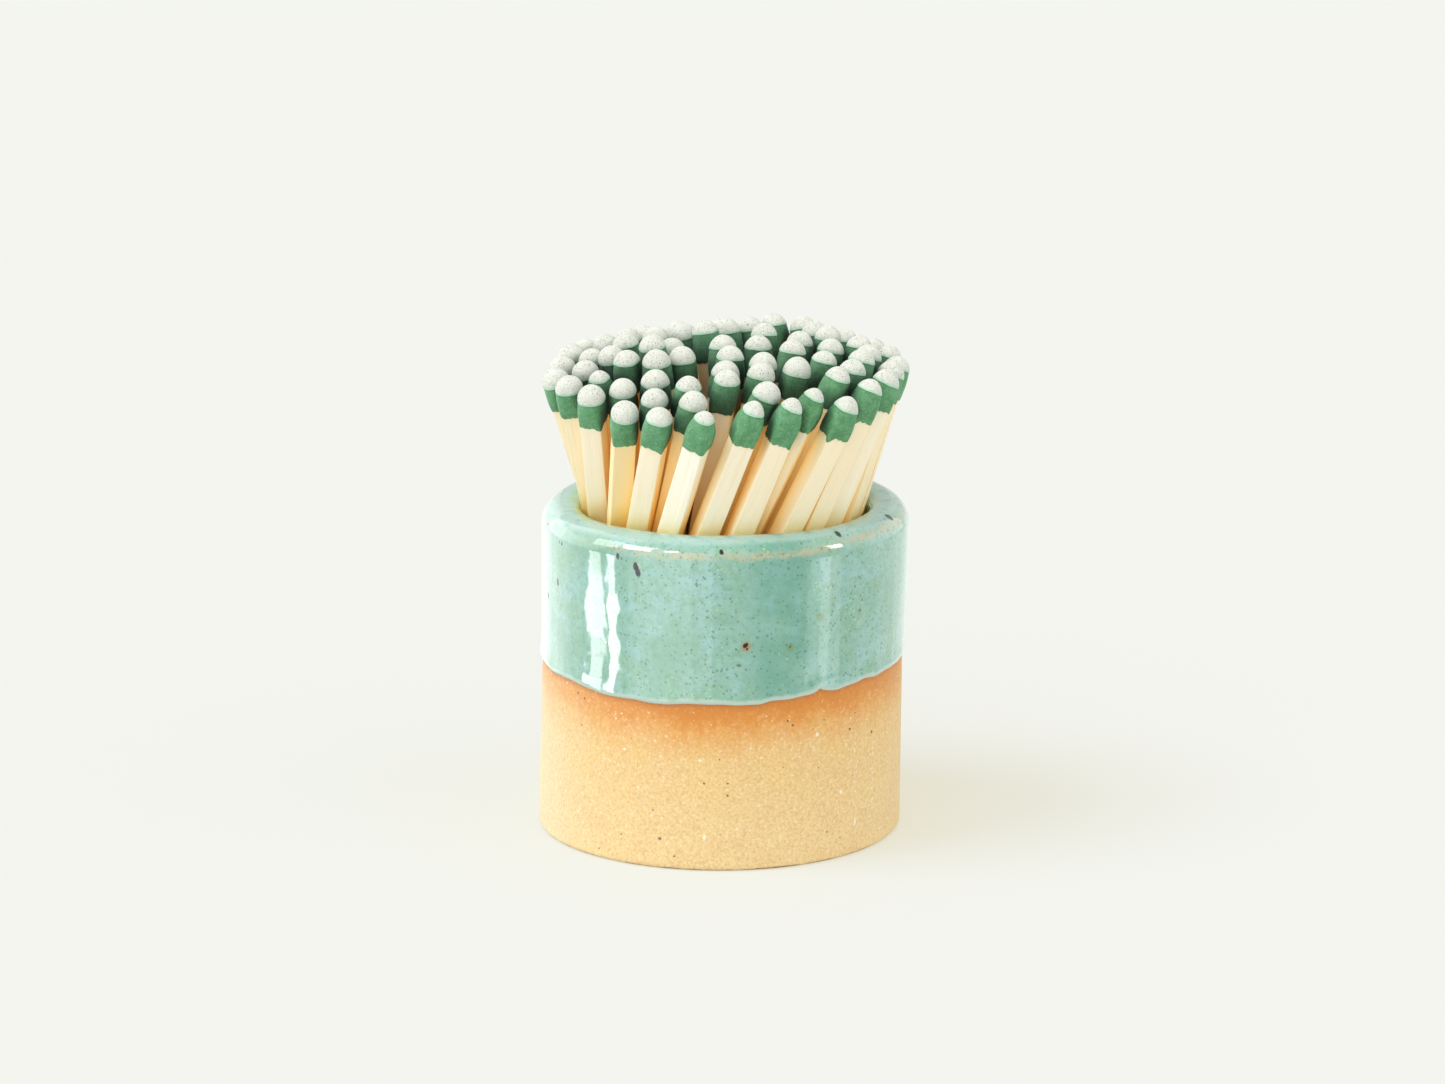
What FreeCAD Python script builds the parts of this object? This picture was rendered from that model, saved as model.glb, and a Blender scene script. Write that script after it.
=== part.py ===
import FreeCAD, Part
import math
import os
from FreeCAD import Placement, Rotation, Vector

# Match striker: a small thrown stoneware pot, glazed on its upper half, bare and
# gritty on its lower half, with a bundle of strike-on wooden matches stood in it.
# Frame: +Z up, origin at the middle of the pot's flat foot, the viewer's side at -Y.
# Lengths in millimetres.

doc = FreeCAD.newDocument("MatchStriker")

# ---------------------------------------------------------------- driving sizes
SIZES = [
    # the pot
    ("pot_height", 35.7, "top of the rounded rim"),
    ("bare_radius", 19.3, "bare lower wall"),
    ("glaze_radius", 19.55, "over the glaze coat"),
    ("glaze_line", 18.5, "mean height of the glaze edge"),
    ("glaze_step_rise", 0.45, "height over which the coat swells out"),
    ("mouth_radius", 15.1, "narrowest part of the mouth"),
    ("belly_radius", 15.6, "inside, under the thickened rim"),
    ("mouth_low", 32.5, "lower end of the mouth land"),
    ("belly_high", 31.8, "where the belly starts"),
    ("floor_height", 4.0, "inside floor"),
    ("foot_round", 0.6, "softened outer foot edge"),
    ("shoulder_round", 2.3, "outer side of the rim"),
    ("lip_round", 1.5, "inner side of the rim"),
    ("floor_round", 1.0, "inside corner at the floor"),
    # one match
    ("match_length", 49.3, "foot of the splint to the tip"),
    ("splint_side", 2.3, "square splint"),
    ("splint_end", 46.9, "upper end of the splint, inside the bulb"),
    ("bulb_low", 44.5, "lower edge of the bulb"),
    ("bulb_swell", 45.5, "first full section of the bulb"),
    ("bulb_belly", 46.5, "widest section of the bulb"),
    ("bulb_high", 47.5, "joint between bulb and tip cap"),
    ("bulb_low_half", 1.25, "half width at the lower edge"),
    ("bulb_low_corner", 0.28, "corner radius at the lower edge"),
    ("bulb_swell_half", 1.44, "half width at the swell"),
    ("bulb_swell_corner", 0.9, "corner radius at the swell"),
    ("bulb_belly_half", 1.49, "half width at the belly"),
    ("bulb_belly_corner", 1.1, "corner radius at the belly"),
    ("bulb_high_half", 1.43, "half width at the joint"),
    ("bulb_high_corner", 1.28, "corner radius at the joint"),
    ("cap_radius", 1.42, "ball end of the tip cap"),
]
sheet = doc.addObject("Spreadsheet::Sheet", "Sizes")
sheet.Label = "Sizes"
for row, (alias, value, note) in enumerate(SIZES, start=1):
    sheet.set("A%d" % row, alias)
    sheet.set("B%d" % row, str(value))
    sheet.set("C%d" % row, note)
    sheet.setAlias("B%d" % row, alias)
doc.recompute()


def size(alias):
    return float(sheet.get(alias))


def origin_plane(body, role):
    for feature in body.Origin.OriginFeatures:
        if feature.Role == role:
            return feature
    raise RuntimeError("no " + role)


def new_body(name):
    body = doc.addObject("PartDesign::Body", name)
    body.Label = name
    return body


def sketch_on(body, name, role, height=None):
    sk = body.newObject("Sketcher::SketchObject", name)
    sk.AttachmentSupport = [(origin_plane(body, role), "")]
    sk.MapMode = "FlatFace"
    if height is not None:
        sk.AttachmentOffset = Placement(Vector(0, 0, size(height)), Rotation())
        sk.setExpression("AttachmentOffset.Base.z", "Sizes." + height)
    return sk


def bound_polygon(sk, points):
    """Closed outline. Each point is (name, x, y, x expression, y expression)."""
    import Sketcher
    n = len(points)
    for i in range(n):
        a, b = points[i], points[(i + 1) % n]
        sk.addGeometry(Part.LineSegment(Vector(a[1], a[2], 0), Vector(b[1], b[2], 0)), False)
    for i in range(n):
        sk.addConstraint(Sketcher.Constraint("Coincident", i, 2, (i + 1) % n, 1))
    for i, (name, x, y, ex, ey) in enumerate(points):
        for axis, value, expr in (("X", x, ex), ("Y", y, ey)):
            if expr is None:
                k = sk.addConstraint(
                    Sketcher.Constraint("PointOnObject", i, 1, -2 if axis == "X" else -1))
            else:
                k = sk.addConstraint(
                    Sketcher.Constraint("Distance" + axis, -1, 1, i, 1, value))
                sk.renameConstraint(k, "%s_%s" % (name, axis.lower()))
                sk.setExpression("Constraints.%s_%s" % (name, axis.lower()), expr)


def ring_edges(shape, radius, height, tol=0.02):
    """Names of the full-circle edges of a turned shape with this radius and height."""
    names = []
    for i, e in enumerate(shape.Edges, start=1):
        c = e.Curve
        if isinstance(c, Part.Circle) and abs(c.Radius - radius) < tol \
                and abs(c.Center.z - height) < tol:
            names.append("Edge%d" % i)
    return names


def round_edge(body, base, name, radius, height, alias):
    edges = ring_edges(base.Shape, radius, height)
    if not edges:
        raise RuntimeError("no edge for " + name)
    fil = body.newObject("PartDesign::Fillet", name)
    fil.Base = (base, edges)
    fil.Radius = size(alias)
    fil.setExpression("Radius", "Sizes." + alias)
    doc.recompute()
    return fil


# ---------------------------------------------------------------- the pot
# One thrown cup: half section turned about the axis. The glaze is a coat fused to
# the clay, so it is a step in the same wall, with the bare body below it.
pot = new_body("striker_pot")
sk = sketch_on(pot, "pot_section", "XZ_Plane")
S = "Sizes."
bound_polygon(sk, [
    ("foot_axis", 0, 0, None, None),
    ("foot_rim", size("bare_radius"), 0, S + "bare_radius", None),
    ("bare_top", size("bare_radius"), size("glaze_line"), S + "bare_radius", S + "glaze_line"),
    ("glaze_low", size("glaze_radius"), size("glaze_line") + size("glaze_step_rise"),
     S + "glaze_radius", S + "glaze_line + Sizes.glaze_step_rise"),
    ("rim_out", size("glaze_radius"), size("pot_height"), S + "glaze_radius", S + "pot_height"),
    ("rim_in", size("mouth_radius"), size("pot_height"), S + "mouth_radius", S + "pot_height"),
    ("mouth_low", size("mouth_radius"), size("mouth_low"), S + "mouth_radius", S + "mouth_low"),
    ("belly_high", size("belly_radius"), size("belly_high"), S + "belly_radius", S + "belly_high"),
    ("floor_rim", size("belly_radius"), size("floor_height"), S + "belly_radius", S + "floor_height"),
    ("floor_axis", 0, size("floor_height"), None, S + "floor_height"),
])
turn = pot.newObject("PartDesign::Revolution", "pot_turned")
turn.Profile = sk
turn.ReferenceAxis = (sk, ["V_Axis"])
turn.Angle = 360.0
doc.recompute()
step = round_edge(pot, turn, "foot_softened", size("bare_radius"), 0.0, "foot_round")
step = round_edge(pot, step, "shoulder", size("glaze_radius"), size("pot_height"), "shoulder_round")
step = round_edge(pot, step, "lip", size("mouth_radius"), size("pot_height"), "lip_round")
step = round_edge(pot, step, "floor_corner", size("belly_radius"), size("floor_height"), "floor_round")
pot.Tip = step
doc.recompute()

# ---------------------------------------------------------------- one match, upright
# Splint: a square stick, its upper end buried in the bulb.
splint = new_body("splint_pattern")
sk = sketch_on(splint, "splint_section", "XY_Plane")
half = size("splint_side") / 2
h2 = "Sizes.splint_side / 2"
bound_polygon(sk, [
    ("a", -half, -half, "-" + h2, "-" + h2),
    ("b", half, -half, h2, "-" + h2),
    ("c", half, half, h2, h2),
    ("d", -half, half, "-" + h2, h2),
])
pad = splint.newObject("PartDesign::Pad", "splint_length")
pad.Profile = sk
pad.Length = size("splint_end")
pad.setExpression("Length", "Sizes.splint_end")
splint.Tip = pad
doc.recompute()


# Bulb: the green composition, dipped on, so it is a rounded square in section,
# thin over the splint at its lower edge, fullest a third of the way down.
def rounded_square(sk, half_alias, corner_alias):
    import Sketcher
    h, r = size(half_alias), size(corner_alias)
    f = h - r
    # four flats and four corner arcs, anticlockwise
    sk.addGeometry(Part.LineSegment(Vector(-f, -h, 0), Vector(f, -h, 0)), False)
    sk.addGeometry(Part.ArcOfCircle(Part.Circle(Vector(f, -f, 0), Vector(0, 0, 1), r),
                                    -math.pi / 2, 0), False)
    sk.addGeometry(Part.LineSegment(Vector(h, -f, 0), Vector(h, f, 0)), False)
    sk.addGeometry(Part.ArcOfCircle(Part.Circle(Vector(f, f, 0), Vector(0, 0, 1), r),
                                    0, math.pi / 2), False)
    sk.addGeometry(Part.LineSegment(Vector(f, h, 0), Vector(-f, h, 0)), False)
    sk.addGeometry(Part.ArcOfCircle(Part.Circle(Vector(-f, f, 0), Vector(0, 0, 1), r),
                                    math.pi / 2, math.pi), False)
    sk.addGeometry(Part.LineSegment(Vector(-h, f, 0), Vector(-h, -f, 0)), False)
    sk.addGeometry(Part.ArcOfCircle(Part.Circle(Vector(-f, -f, 0), Vector(0, 0, 1), r),
                                    math.pi, 3 * math.pi / 2), False)
    for i in range(8):
        sk.addConstraint(Sketcher.Constraint("Tangent", i, 2, (i + 1) % 8, 1))
    corner = "Sizes.%s" % corner_alias
    flat = "Sizes.%s - Sizes.%s" % (half_alias, corner_alias)
    # the arc centres and radii fix the outline
    for i, sx, sy in ((1, 1, -1), (3, 1, 1), (5, -1, 1), (7, -1, -1)):
        for axis, s in (("X", sx), ("Y", sy)):
            k = sk.addConstraint(Sketcher.Constraint("Distance" + axis, -1, 1, i, 3, s * f))
            cname = "c%d_%s" % (i, axis.lower())
            sk.renameConstraint(k, cname)
            sk.setExpression("Constraints." + cname, flat if s > 0 else "-(%s)" % flat)
        k = sk.addConstraint(Sketcher.Constraint("Radius", i, r))
        sk.renameConstraint(k, "r%d" % i)
        sk.setExpression("Constraints.r%d" % i, corner)


bulb = new_body("bulb_pattern")
sections = []
for tag in ("low", "swell", "belly", "high"):
    sk = sketch_on(bulb, "bulb_section_" + tag, "XY_Plane", "bulb_" + tag)
    rounded_square(sk, "bulb_%s_half" % tag, "bulb_%s_corner" % tag)
    sections.append(sk)
doc.recompute()
loft = bulb.newObject("PartDesign::AdditiveLoft", "bulb_form")
loft.Profile = sections[0]
loft.Sections = sections[1:]
loft.Ruled = True
doc.recompute()
solid_bulb = loft.Shape.Volume
sk = sketch_on(bulb, "bulb_socket_section", "XY_Plane", "bulb_low")
bound_polygon(sk, [
    ("a", -half, -half, "-" + h2, "-" + h2),
    ("b", half, -half, h2, "-" + h2),
    ("c", half, half, h2, h2),
    ("d", -half, half, "-" + h2, h2),
])
socket = bulb.newObject("PartDesign::Pocket", "bulb_socket")
socket.Profile = sk
socket.Reversed = True
socket.Length = size("splint_end") - size("bulb_low")
socket.setExpression("Length", "Sizes.splint_end - Sizes.bulb_low")
bulb.Tip = socket
doc.recompute()
cut = solid_bulb - socket.Shape.Volume
want = size("splint_side") ** 2 * (size("splint_end") - size("bulb_low"))
if abs(cut - want) > 0.02 * want:
    raise RuntimeError("the bulb's socket cut %.3f, not %.3f mm3" % (cut, want))

# Tip cap: the pale strike-on tip, a ball end on a short skirt that meets the bulb.
cap = new_body("tip_pattern")
sk = sketch_on(cap, "tip_section", "XZ_Plane")
import Sketcher
rc, top, low = size("cap_radius"), size("match_length"), size("bulb_high")
centre = top - rc
skirt = size("bulb_high_half")
sk.addGeometry(Part.LineSegment(Vector(0, low, 0), Vector(skirt, low, 0)), False)
sk.addGeometry(Part.LineSegment(Vector(skirt, low, 0), Vector(rc, centre, 0)), False)
sk.addGeometry(Part.ArcOfCircle(Part.Circle(Vector(0, centre, 0), Vector(0, 0, 1), rc),
                                0, math.pi / 2), False)
sk.addGeometry(Part.LineSegment(Vector(0, top, 0), Vector(0, low, 0)), False)
for i in range(4):
    j = (i + 1) % 4
    sk.addConstraint(Sketcher.Constraint("Coincident", i, 2, j, 1))
sk.addConstraint(Sketcher.Constraint("PointOnObject", 0, 1, -2))
sk.addConstraint(Sketcher.Constraint("PointOnObject", 2, 3, -2))
sk.addConstraint(Sketcher.Constraint("PointOnObject", 2, 2, -2))
sk.addConstraint(Sketcher.Constraint("Horizontal", 0))
for name, kind, geo, pos, value, expr in (
        ("low", "DistanceY", 0, 1, low, "Sizes.bulb_high"),
        ("skirt", "DistanceX", 0, 2, skirt, "Sizes.bulb_high_half"),
        ("mid", "DistanceY", 2, 3, centre, "Sizes.match_length - Sizes.cap_radius"),
        ("shoulder", "DistanceY", 2, 1, centre, "Sizes.match_length - Sizes.cap_radius")):
    k = sk.addConstraint(Sketcher.Constraint(kind, -1, 1, geo, pos, value))
    sk.renameConstraint(k, name)
    sk.setExpression("Constraints." + name, expr)
k = sk.addConstraint(Sketcher.Constraint("Radius", 2, rc))
sk.renameConstraint(k, "ball")
sk.setExpression("Constraints.ball", "Sizes.cap_radius")
turn = cap.newObject("PartDesign::Revolution", "tip_turned")
turn.Profile = sk
turn.ReferenceAxis = (sk, ["V_Axis"])
turn.Angle = 360.0
cap.Tip = turn
doc.recompute()

# ---------------------------------------------------------------- the bundle
# Where each match stands: foot x, y, z, tip x, y, z, and the splint's turn about
# its own length in degrees. The bundle is twisted: the feet sit about fifty degrees
# round from the tips, and the matches lean on each other and on the rim.
BUNDLE = {
    "front": [
        (-8.59, 1.64, 4.48, -3.425, -11.710, 51.654, -22.2),
        (-11.87, 0.42, 4.85, -2.755, -15.088, 50.748, -20.5),
        (-13.75, -1.36, 4.68, -1.634, -18.266, 49.374, -21.3),
        (-7.05, -1.48, 4.41, 0.673, -10.936, 52.169, -9.9),
        (-12.76, -6.16, 5.09, 3.573, -17.264, 50.265, 14.1),
        (-11.16, -3.89, 6.21, 5.070, -14.293, 51.586, -26.8),
    ],
    "front_left": [
        (-8.60, 10.58, 5.25, -16.369, -7.179, 50.575, -7.0),
        (-11.01, 8.48, 5.07, -13.809, -10.714, 50.390, -17.4),
        (-8.99, 7.22, 4.47, -10.469, -9.477, 50.832, -17.3),
        (-12.65, 6.01, 4.69, -10.085, -14.415, 49.483, 9.4),
        (-6.73, 5.32, 4.47, -7.057, -8.856, 51.691, 44.3),
        (-10.15, 4.80, 4.54, -6.976, -12.794, 50.489, -10.5),
        (-13.76, 2.77, 4.69, -6.387, -16.772, 49.350, -18.1),
    ],
    "front_right": [
        (-10.07, -8.99, 4.86, 7.559, -16.151, 50.343, 15.8),
        (-2.72, -5.58, 4.64, 8.164, -6.870, 52.702, 13.6),
        (-9.47, -6.26, 5.98, 9.893, -13.422, 50.747, -19.5),
        (-4.63, -9.11, 5.94, 12.496, -9.266, 52.171, -26.0),
        (-7.56, -11.83, 5.12, 13.453, -12.671, 49.711, 29.9),
        (-3.86, -12.31, 5.81, 15.901, -9.647, 50.896, 35.8),
    ],
    "left": [
        (-5.89, 12.72, 5.84, -17.977, -3.890, 50.651, -0.5),
        (-2.89, 13.82, 5.56, -17.524, 0.991, 50.859, 32.2),
        (-0.12, 14.13, 5.88, -16.643, 5.011, 51.423, 19.6),
        (-3.44, 10.96, 5.01, -14.873, -2.157, 51.135, -4.5),
        (0.22, 11.74, 5.29, -14.380, 2.427, 51.446, 13.1),
        (-6.38, 9.11, 4.46, -13.106, -5.909, 50.934, -11.8),
        (-0.90, 8.86, 5.23, -12.110, -0.156, 52.383, 22.4),
        (2.16, 8.48, 5.61, -10.701, 3.482, 52.943, -2.7),
        (-4.31, 7.08, 5.08, -10.267, -4.046, 52.737, -20.7),
    ],
    "right": [
        (0.12, -5.58, 4.52, 11.013, -3.064, 52.535, -1.2),
        (1.85, -3.10, 4.74, 11.834, 2.313, 52.712, -1.3),
        (-1.69, -8.37, 5.63, 14.107, -6.163, 52.280, 37.4),
        (4.30, -3.87, 5.21, 14.926, 4.078, 52.695, -1.0),
        (2.04, -8.49, 5.45, 15.072, -2.582, 52.626, -18.6),
        (2.85, -6.19, 5.36, 15.881, 0.735, 52.403, -14.6),
        (-1.29, -11.26, 6.05, 17.752, -6.411, 51.264, 29.8),
        (6.00, -7.92, 5.43, 18.177, 5.287, 51.336, -4.0),
        (2.85, -12.57, 5.66, 18.339, -1.599, 51.165, -21.6),
        (4.13, -10.24, 5.43, 18.979, 1.790, 50.873, -8.1),
    ],
    "mid_front": [
        (-0.29, 6.06, 5.53, -7.663, -0.958, 53.763, 10.2),
        (-3.07, 4.53, 4.95, -7.074, -5.262, 53.100, 39.4),
        (-0.15, 3.73, 4.26, -4.385, -2.836, 52.935, 3.5),
        (-5.61, 1.16, 4.27, 0.507, -7.534, 52.412, 30.3),
        (-2.12, -0.18, 4.13, 0.905, -3.584, 53.215, 30.4),
        (-5.67, -5.19, 4.44, 4.374, -8.790, 52.570, -20.9),
        (-3.23, -3.16, 4.26, 4.517, -5.386, 52.897, 13.9),
        (-0.53, -3.17, 4.66, 7.637, -0.673, 53.215, -1.4),
    ],
    "mid_back": [
        (2.60, 5.82, 4.23, -5.615, 2.377, 52.714, 18.3),
        (5.05, 4.72, 5.30, -2.030, 5.454, 54.082, -15.7),
        (1.65, 0.63, 4.24, 0.009, 0.556, 53.512, -27.5),
        (8.99, 4.04, 5.21, 0.202, 9.592, 53.405, 2.2),
        (2.49, 2.82, 4.07, 3.837, 1.193, 53.320, -27.5),
        (6.62, 1.53, 4.46, 4.409, 7.356, 53.362, 1.7),
    ],
    "back_left": [
        (2.99, 13.70, 5.66, -15.277, 8.700, 51.178, 22.5),
        (2.71, 11.06, 5.78, -12.957, 6.240, 52.277, 12.1),
        (5.75, 10.46, 5.82, -10.686, 9.362, 52.286, -12.8),
        (6.01, 12.86, 4.95, -8.975, 12.438, 51.916, -13.0),
        (4.78, 8.31, 5.47, -7.557, 6.224, 53.153, -12.6),
        (6.95, 6.69, 5.18, -4.519, 8.526, 53.092, -14.0),
    ],
    "back_right": [
        (3.95, -0.84, 4.24, 8.374, 4.848, 53.008, -1.3),
        (13.92, 1.47, 5.34, 8.620, 13.503, 52.850, 40.2),
        (9.00, 0.31, 4.70, 9.952, 9.897, 53.050, -19.4),
        (6.34, -1.57, 4.92, 11.475, 6.533, 53.274, -0.5),
        (11.12, -2.18, 4.41, 13.289, 10.469, 52.016, 20.7),
        (7.72, -5.44, 4.93, 16.545, 8.409, 51.418, 10.9),
    ],
    "back": [
        (8.71, 11.06, 4.83, -5.281, 15.180, 51.926, -13.8),
        (8.23, 8.77, 4.32, -4.213, 11.878, 51.920, -14.2),
        (10.69, 8.66, 4.52, -0.721, 16.155, 51.892, -14.8),
        (10.10, 6.39, 4.36, -0.578, 12.734, 52.073, -14.8),
        (11.58, 3.28, 5.35, 2.688, 12.290, 52.998, 3.6),
        (12.66, 5.93, 4.93, 5.352, 14.583, 52.908, -35.5),
    ],}

PATTERNS = (("splints", splint), ("bulbs", bulb), ("tips", cap))
nodes = [pot]
for place, matches in BUNDLE.items():
    spots = []
    for fx, fy, fz, tx, ty, tz, roll in matches:
        foot = Vector(fx, fy, fz)
        along = Vector(tx, ty, tz) - foot
        turn_to = Rotation(Vector(0, 0, 1), along)
        spots.append(Placement(foot, turn_to.multiply(Rotation(Vector(0, 0, 1), roll))))
    for what, pattern in PATTERNS:
        copies = []
        for i, spot in enumerate(spots, start=1):
            link = doc.addObject("App::Link", "%s_%s_%d" % (place, what, i))
            link.LinkedObject = pattern
            link.LinkTransform = False
            link.Placement = spot
            copies.append(link)
        group = doc.addObject("Part::Compound", "%s_%s" % (place, what))
        group.Label = "%s_%s" % (place, what)
        group.Links = copies
        group.Placement = Placement()
        nodes.append(group)
doc.recompute()

# ---------------------------------------------------------------- checks, then files
for obj in doc.Objects:
    for bad in ("Invalid", "Error"):
        if bad in obj.State:
            raise RuntimeError("%s is %s" % (obj.Label, obj.State))
for node in nodes:
    shape = node.Shape
    if shape.isNull() or not shape.isValid():
        raise RuntimeError(node.Label + " has no valid shape")
    if not shape.Solids:
        raise RuntimeError(node.Label + " has no solid")

os.makedirs("parts", exist_ok=True)
for node in nodes:
    node.Shape.exportStep("parts/%s.step" % node.Label)
    box = node.Shape.BoundBox
    print("%-22s solids %3d volume %9.2f  x %6.2f..%6.2f  y %6.2f..%6.2f  z %5.2f..%5.2f" % (
        node.Label, len(node.Shape.Solids), node.Shape.Volume,
        box.XMin, box.XMax, box.YMin, box.YMax, box.ZMin, box.ZMax))
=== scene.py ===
# A hand-made match striker: a small stoneware pot, glazed inside and over its upper half and left
# bare below as the striking surface, holding a bundle of wooden matches with green heads and pale tips.
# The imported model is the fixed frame; each piece here is the detailed surface of one of its nodes.
# Lengths in the tables are millimetres; everything handed to Blender is metres.
import math

import bpy
import numpy as np
from mathutils import Euler, Matrix, Vector


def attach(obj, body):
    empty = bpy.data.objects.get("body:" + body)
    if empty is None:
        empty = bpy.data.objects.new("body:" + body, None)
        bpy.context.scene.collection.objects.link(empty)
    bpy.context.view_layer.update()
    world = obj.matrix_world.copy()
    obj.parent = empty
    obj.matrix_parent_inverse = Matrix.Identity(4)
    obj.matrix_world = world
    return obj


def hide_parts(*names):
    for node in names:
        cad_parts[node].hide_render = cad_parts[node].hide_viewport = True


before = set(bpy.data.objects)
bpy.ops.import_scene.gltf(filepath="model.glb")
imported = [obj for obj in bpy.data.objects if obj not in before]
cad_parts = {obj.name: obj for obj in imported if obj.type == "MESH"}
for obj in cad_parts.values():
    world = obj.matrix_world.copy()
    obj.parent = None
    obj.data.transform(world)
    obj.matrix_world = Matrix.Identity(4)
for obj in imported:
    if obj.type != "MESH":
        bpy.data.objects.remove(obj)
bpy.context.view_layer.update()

MM = 0.001
TAU = 2 * math.pi


# ---------------------------------------------------------------- camera
PITCH = 14.3
camera_data = bpy.data.cameras.new("camera")
camera_data.sensor_width = 36
camera_data.lens = 5594 / 1445 * 36
camera_data.clip_start, camera_data.clip_end = 0.02, 20
camera = bpy.data.objects.new("camera", camera_data)
camera.location = (0, -600 * math.cos(math.radians(PITCH)) * MM, (30.9 + 600 * math.sin(math.radians(PITCH))) * MM)
camera.rotation_euler = (math.radians(90 - PITCH), 0, 0)
bpy.context.scene.collection.objects.link(camera)
bpy.context.scene.camera = camera


# ---------------------------------------------------------------- small helpers
def linear(r, g, b):
    """A colour on the 0 to 255 display scale as linear RGBA."""
    out = []
    for c in (r, g, b):
        c /= 255
        out.append(c / 12.92 if c <= 0.04045 else ((c + 0.055) / 1.055) ** 2.4)
    return (*out, 1.0)


def smooth(x, a, b):
    t = np.clip((np.asarray(x, float) - a) / (b - a), 0, 1)
    return t * t * (3 - 2 * t)


def mesh_piece(name, points, quads, tris, attributes, material, node, auto=None, which=None):
    """A mesh in millimetres becomes one piece on the body, standing for its node."""
    points = np.asarray(points, float) * MM
    me = bpy.data.meshes.new(name)
    quads = np.asarray(quads, int).reshape(-1, 4)
    tris = np.asarray(tris, int).reshape(-1, 3)
    me.vertices.add(len(points))
    me.vertices.foreach_set("co", points.astype(np.float32).ravel())
    me.loops.add(len(quads) * 4 + len(tris) * 3)
    me.loops.foreach_set("vertex_index", np.concatenate([quads.ravel(), tris.ravel()]).astype(np.int32))
    me.polygons.add(len(quads) + len(tris))
    starts = np.concatenate([np.arange(len(quads)) * 4, len(quads) * 4 + np.arange(len(tris)) * 3])
    me.polygons.foreach_set("loop_start", starts.astype(np.int32))
    me.update(calc_edges=True)
    me.validate()
    me.polygons.foreach_set("use_smooth", np.ones(len(me.polygons), bool))
    for key, values in attributes.items():
        values = np.asarray(values, np.float32)
        if values.ndim == 1:
            me.attributes.new(key, "FLOAT", "POINT").data.foreach_set("value", values)
        else:
            me.attributes.new(key, "FLOAT_VECTOR", "POINT").data.foreach_set("vector", values.ravel())
    if auto is not None:
        me.set_sharp_from_angle(angle=math.radians(auto))
    for m in material if isinstance(material, tuple) else (material,):
        me.materials.append(m)
    if which is not None:
        me.polygons.foreach_set("material_index", np.asarray(which, np.int32))
    ob = bpy.data.objects.new(name, me)
    bpy.context.scene.collection.objects.link(ob)
    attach(ob, "root")
    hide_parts(node)
    return ob


class Net:
    """A material's node tree, built by short calls."""

    def __init__(self, name):
        self.material = bpy.data.materials.new(name)
        self.material.use_nodes = True
        self.tree = self.material.node_tree
        self.tree.nodes.clear()
        self.count = 0

    def node(self, kind, inputs=(), **props):
        n = self.tree.nodes.new(kind)
        self.count += 1
        n.location = (180 * (self.count % 24), -160 * (self.count // 24))
        for key, value in props.items():
            setattr(n, key, value)
        for key, value in dict(inputs).items():
            if isinstance(value, bpy.types.NodeSocket):
                self.tree.links.new(value, n.inputs[key])
            elif value is not None:
                n.inputs[key].default_value = value
        return n

    def attribute(self, name, output="Fac"):
        return self.node("ShaderNodeAttribute", attribute_name=name).outputs[output]

    def place(self):
        return self.node("ShaderNodeTexCoord").outputs["Object"]

    def math(self, op, a, b=None, c=None, clamp=False):
        ins = {0: a}
        if b is not None:
            ins[1] = b
        if c is not None:
            ins[2] = c
        return self.node("ShaderNodeMath", ins, operation=op, use_clamp=clamp).outputs[0]

    def vector(self, op, a, b=None, scale=None, value=False):
        ins = {0: a}
        if b is not None:
            ins[1] = b
        if scale is not None:
            ins["Scale"] = scale
        n = self.node("ShaderNodeVectorMath", ins, operation=op)
        return n.outputs["Value" if value else "Vector"]

    def stretch(self, v, scale):
        return self.vector("MULTIPLY", v, scale)

    def range(self, v, a, b, low=0.0, high=1.0, soft=True):
        return self.node(
            "ShaderNodeMapRange",
            {"Value": v, "From Min": a, "From Max": b, "To Min": low, "To Max": high},
            interpolation_type="SMOOTHSTEP" if soft else "LINEAR",
        ).outputs["Result"]

    def noise(self, v, scale, detail=2.0, rough=0.5, twist=0.0, colour=False):
        n = self.node(
            "ShaderNodeTexNoise",
            {"Vector": v, "Scale": scale, "Detail": detail, "Roughness": rough, "Distortion": twist},
        )
        return n.outputs["Color" if colour else "Fac"]

    def cells(self, v, scale, random=1.0):
        n = self.node("ShaderNodeTexVoronoi", {"Vector": v, "Scale": scale, "Randomness": random})
        return n.outputs["Distance"], n.outputs["Color"]

    def split(self, v):
        n = self.node("ShaderNodeSeparateXYZ", {0: v})
        return n.outputs[0], n.outputs[1], n.outputs[2]

    def channels(self, colour):
        n = self.node("ShaderNodeSeparateColor", {0: colour})
        return n.outputs[0], n.outputs[1], n.outputs[2]

    def mix(self, fac, a, b, blend="MIX"):
        n = self.node("ShaderNodeMix", data_type="RGBA", blend_type=blend)
        for socket, value in ((n.inputs[0], fac), (n.inputs[6], a), (n.inputs[7], b)):
            if isinstance(value, bpy.types.NodeSocket):
                self.tree.links.new(value, socket)
            else:
                socket.default_value = value
        return n.outputs[2]

    def top(self, *values):
        out = values[0]
        for v in values[1:]:
            out = self.math("MAXIMUM", out, v)
        return out

    def times(self, *values):
        out = values[0]
        for v in values[1:]:
            out = self.math("MULTIPLY", out, v)
        return out

    def bump(self, height, strength, distance, normal=None):
        ins = {"Strength": strength, "Distance": distance, "Height": height}
        if normal is not None:
            ins["Normal"] = normal
        return self.node("ShaderNodeBump", ins).outputs["Normal"]

    def finish(self, **sockets):
        shader = self.node("ShaderNodeBsdfPrincipled", {k.replace("_", " "): v for k, v in sockets.items()})
        out = self.node("ShaderNodeOutputMaterial")
        self.tree.links.new(shader.outputs[0], out.inputs[0])
        return self.material


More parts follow.
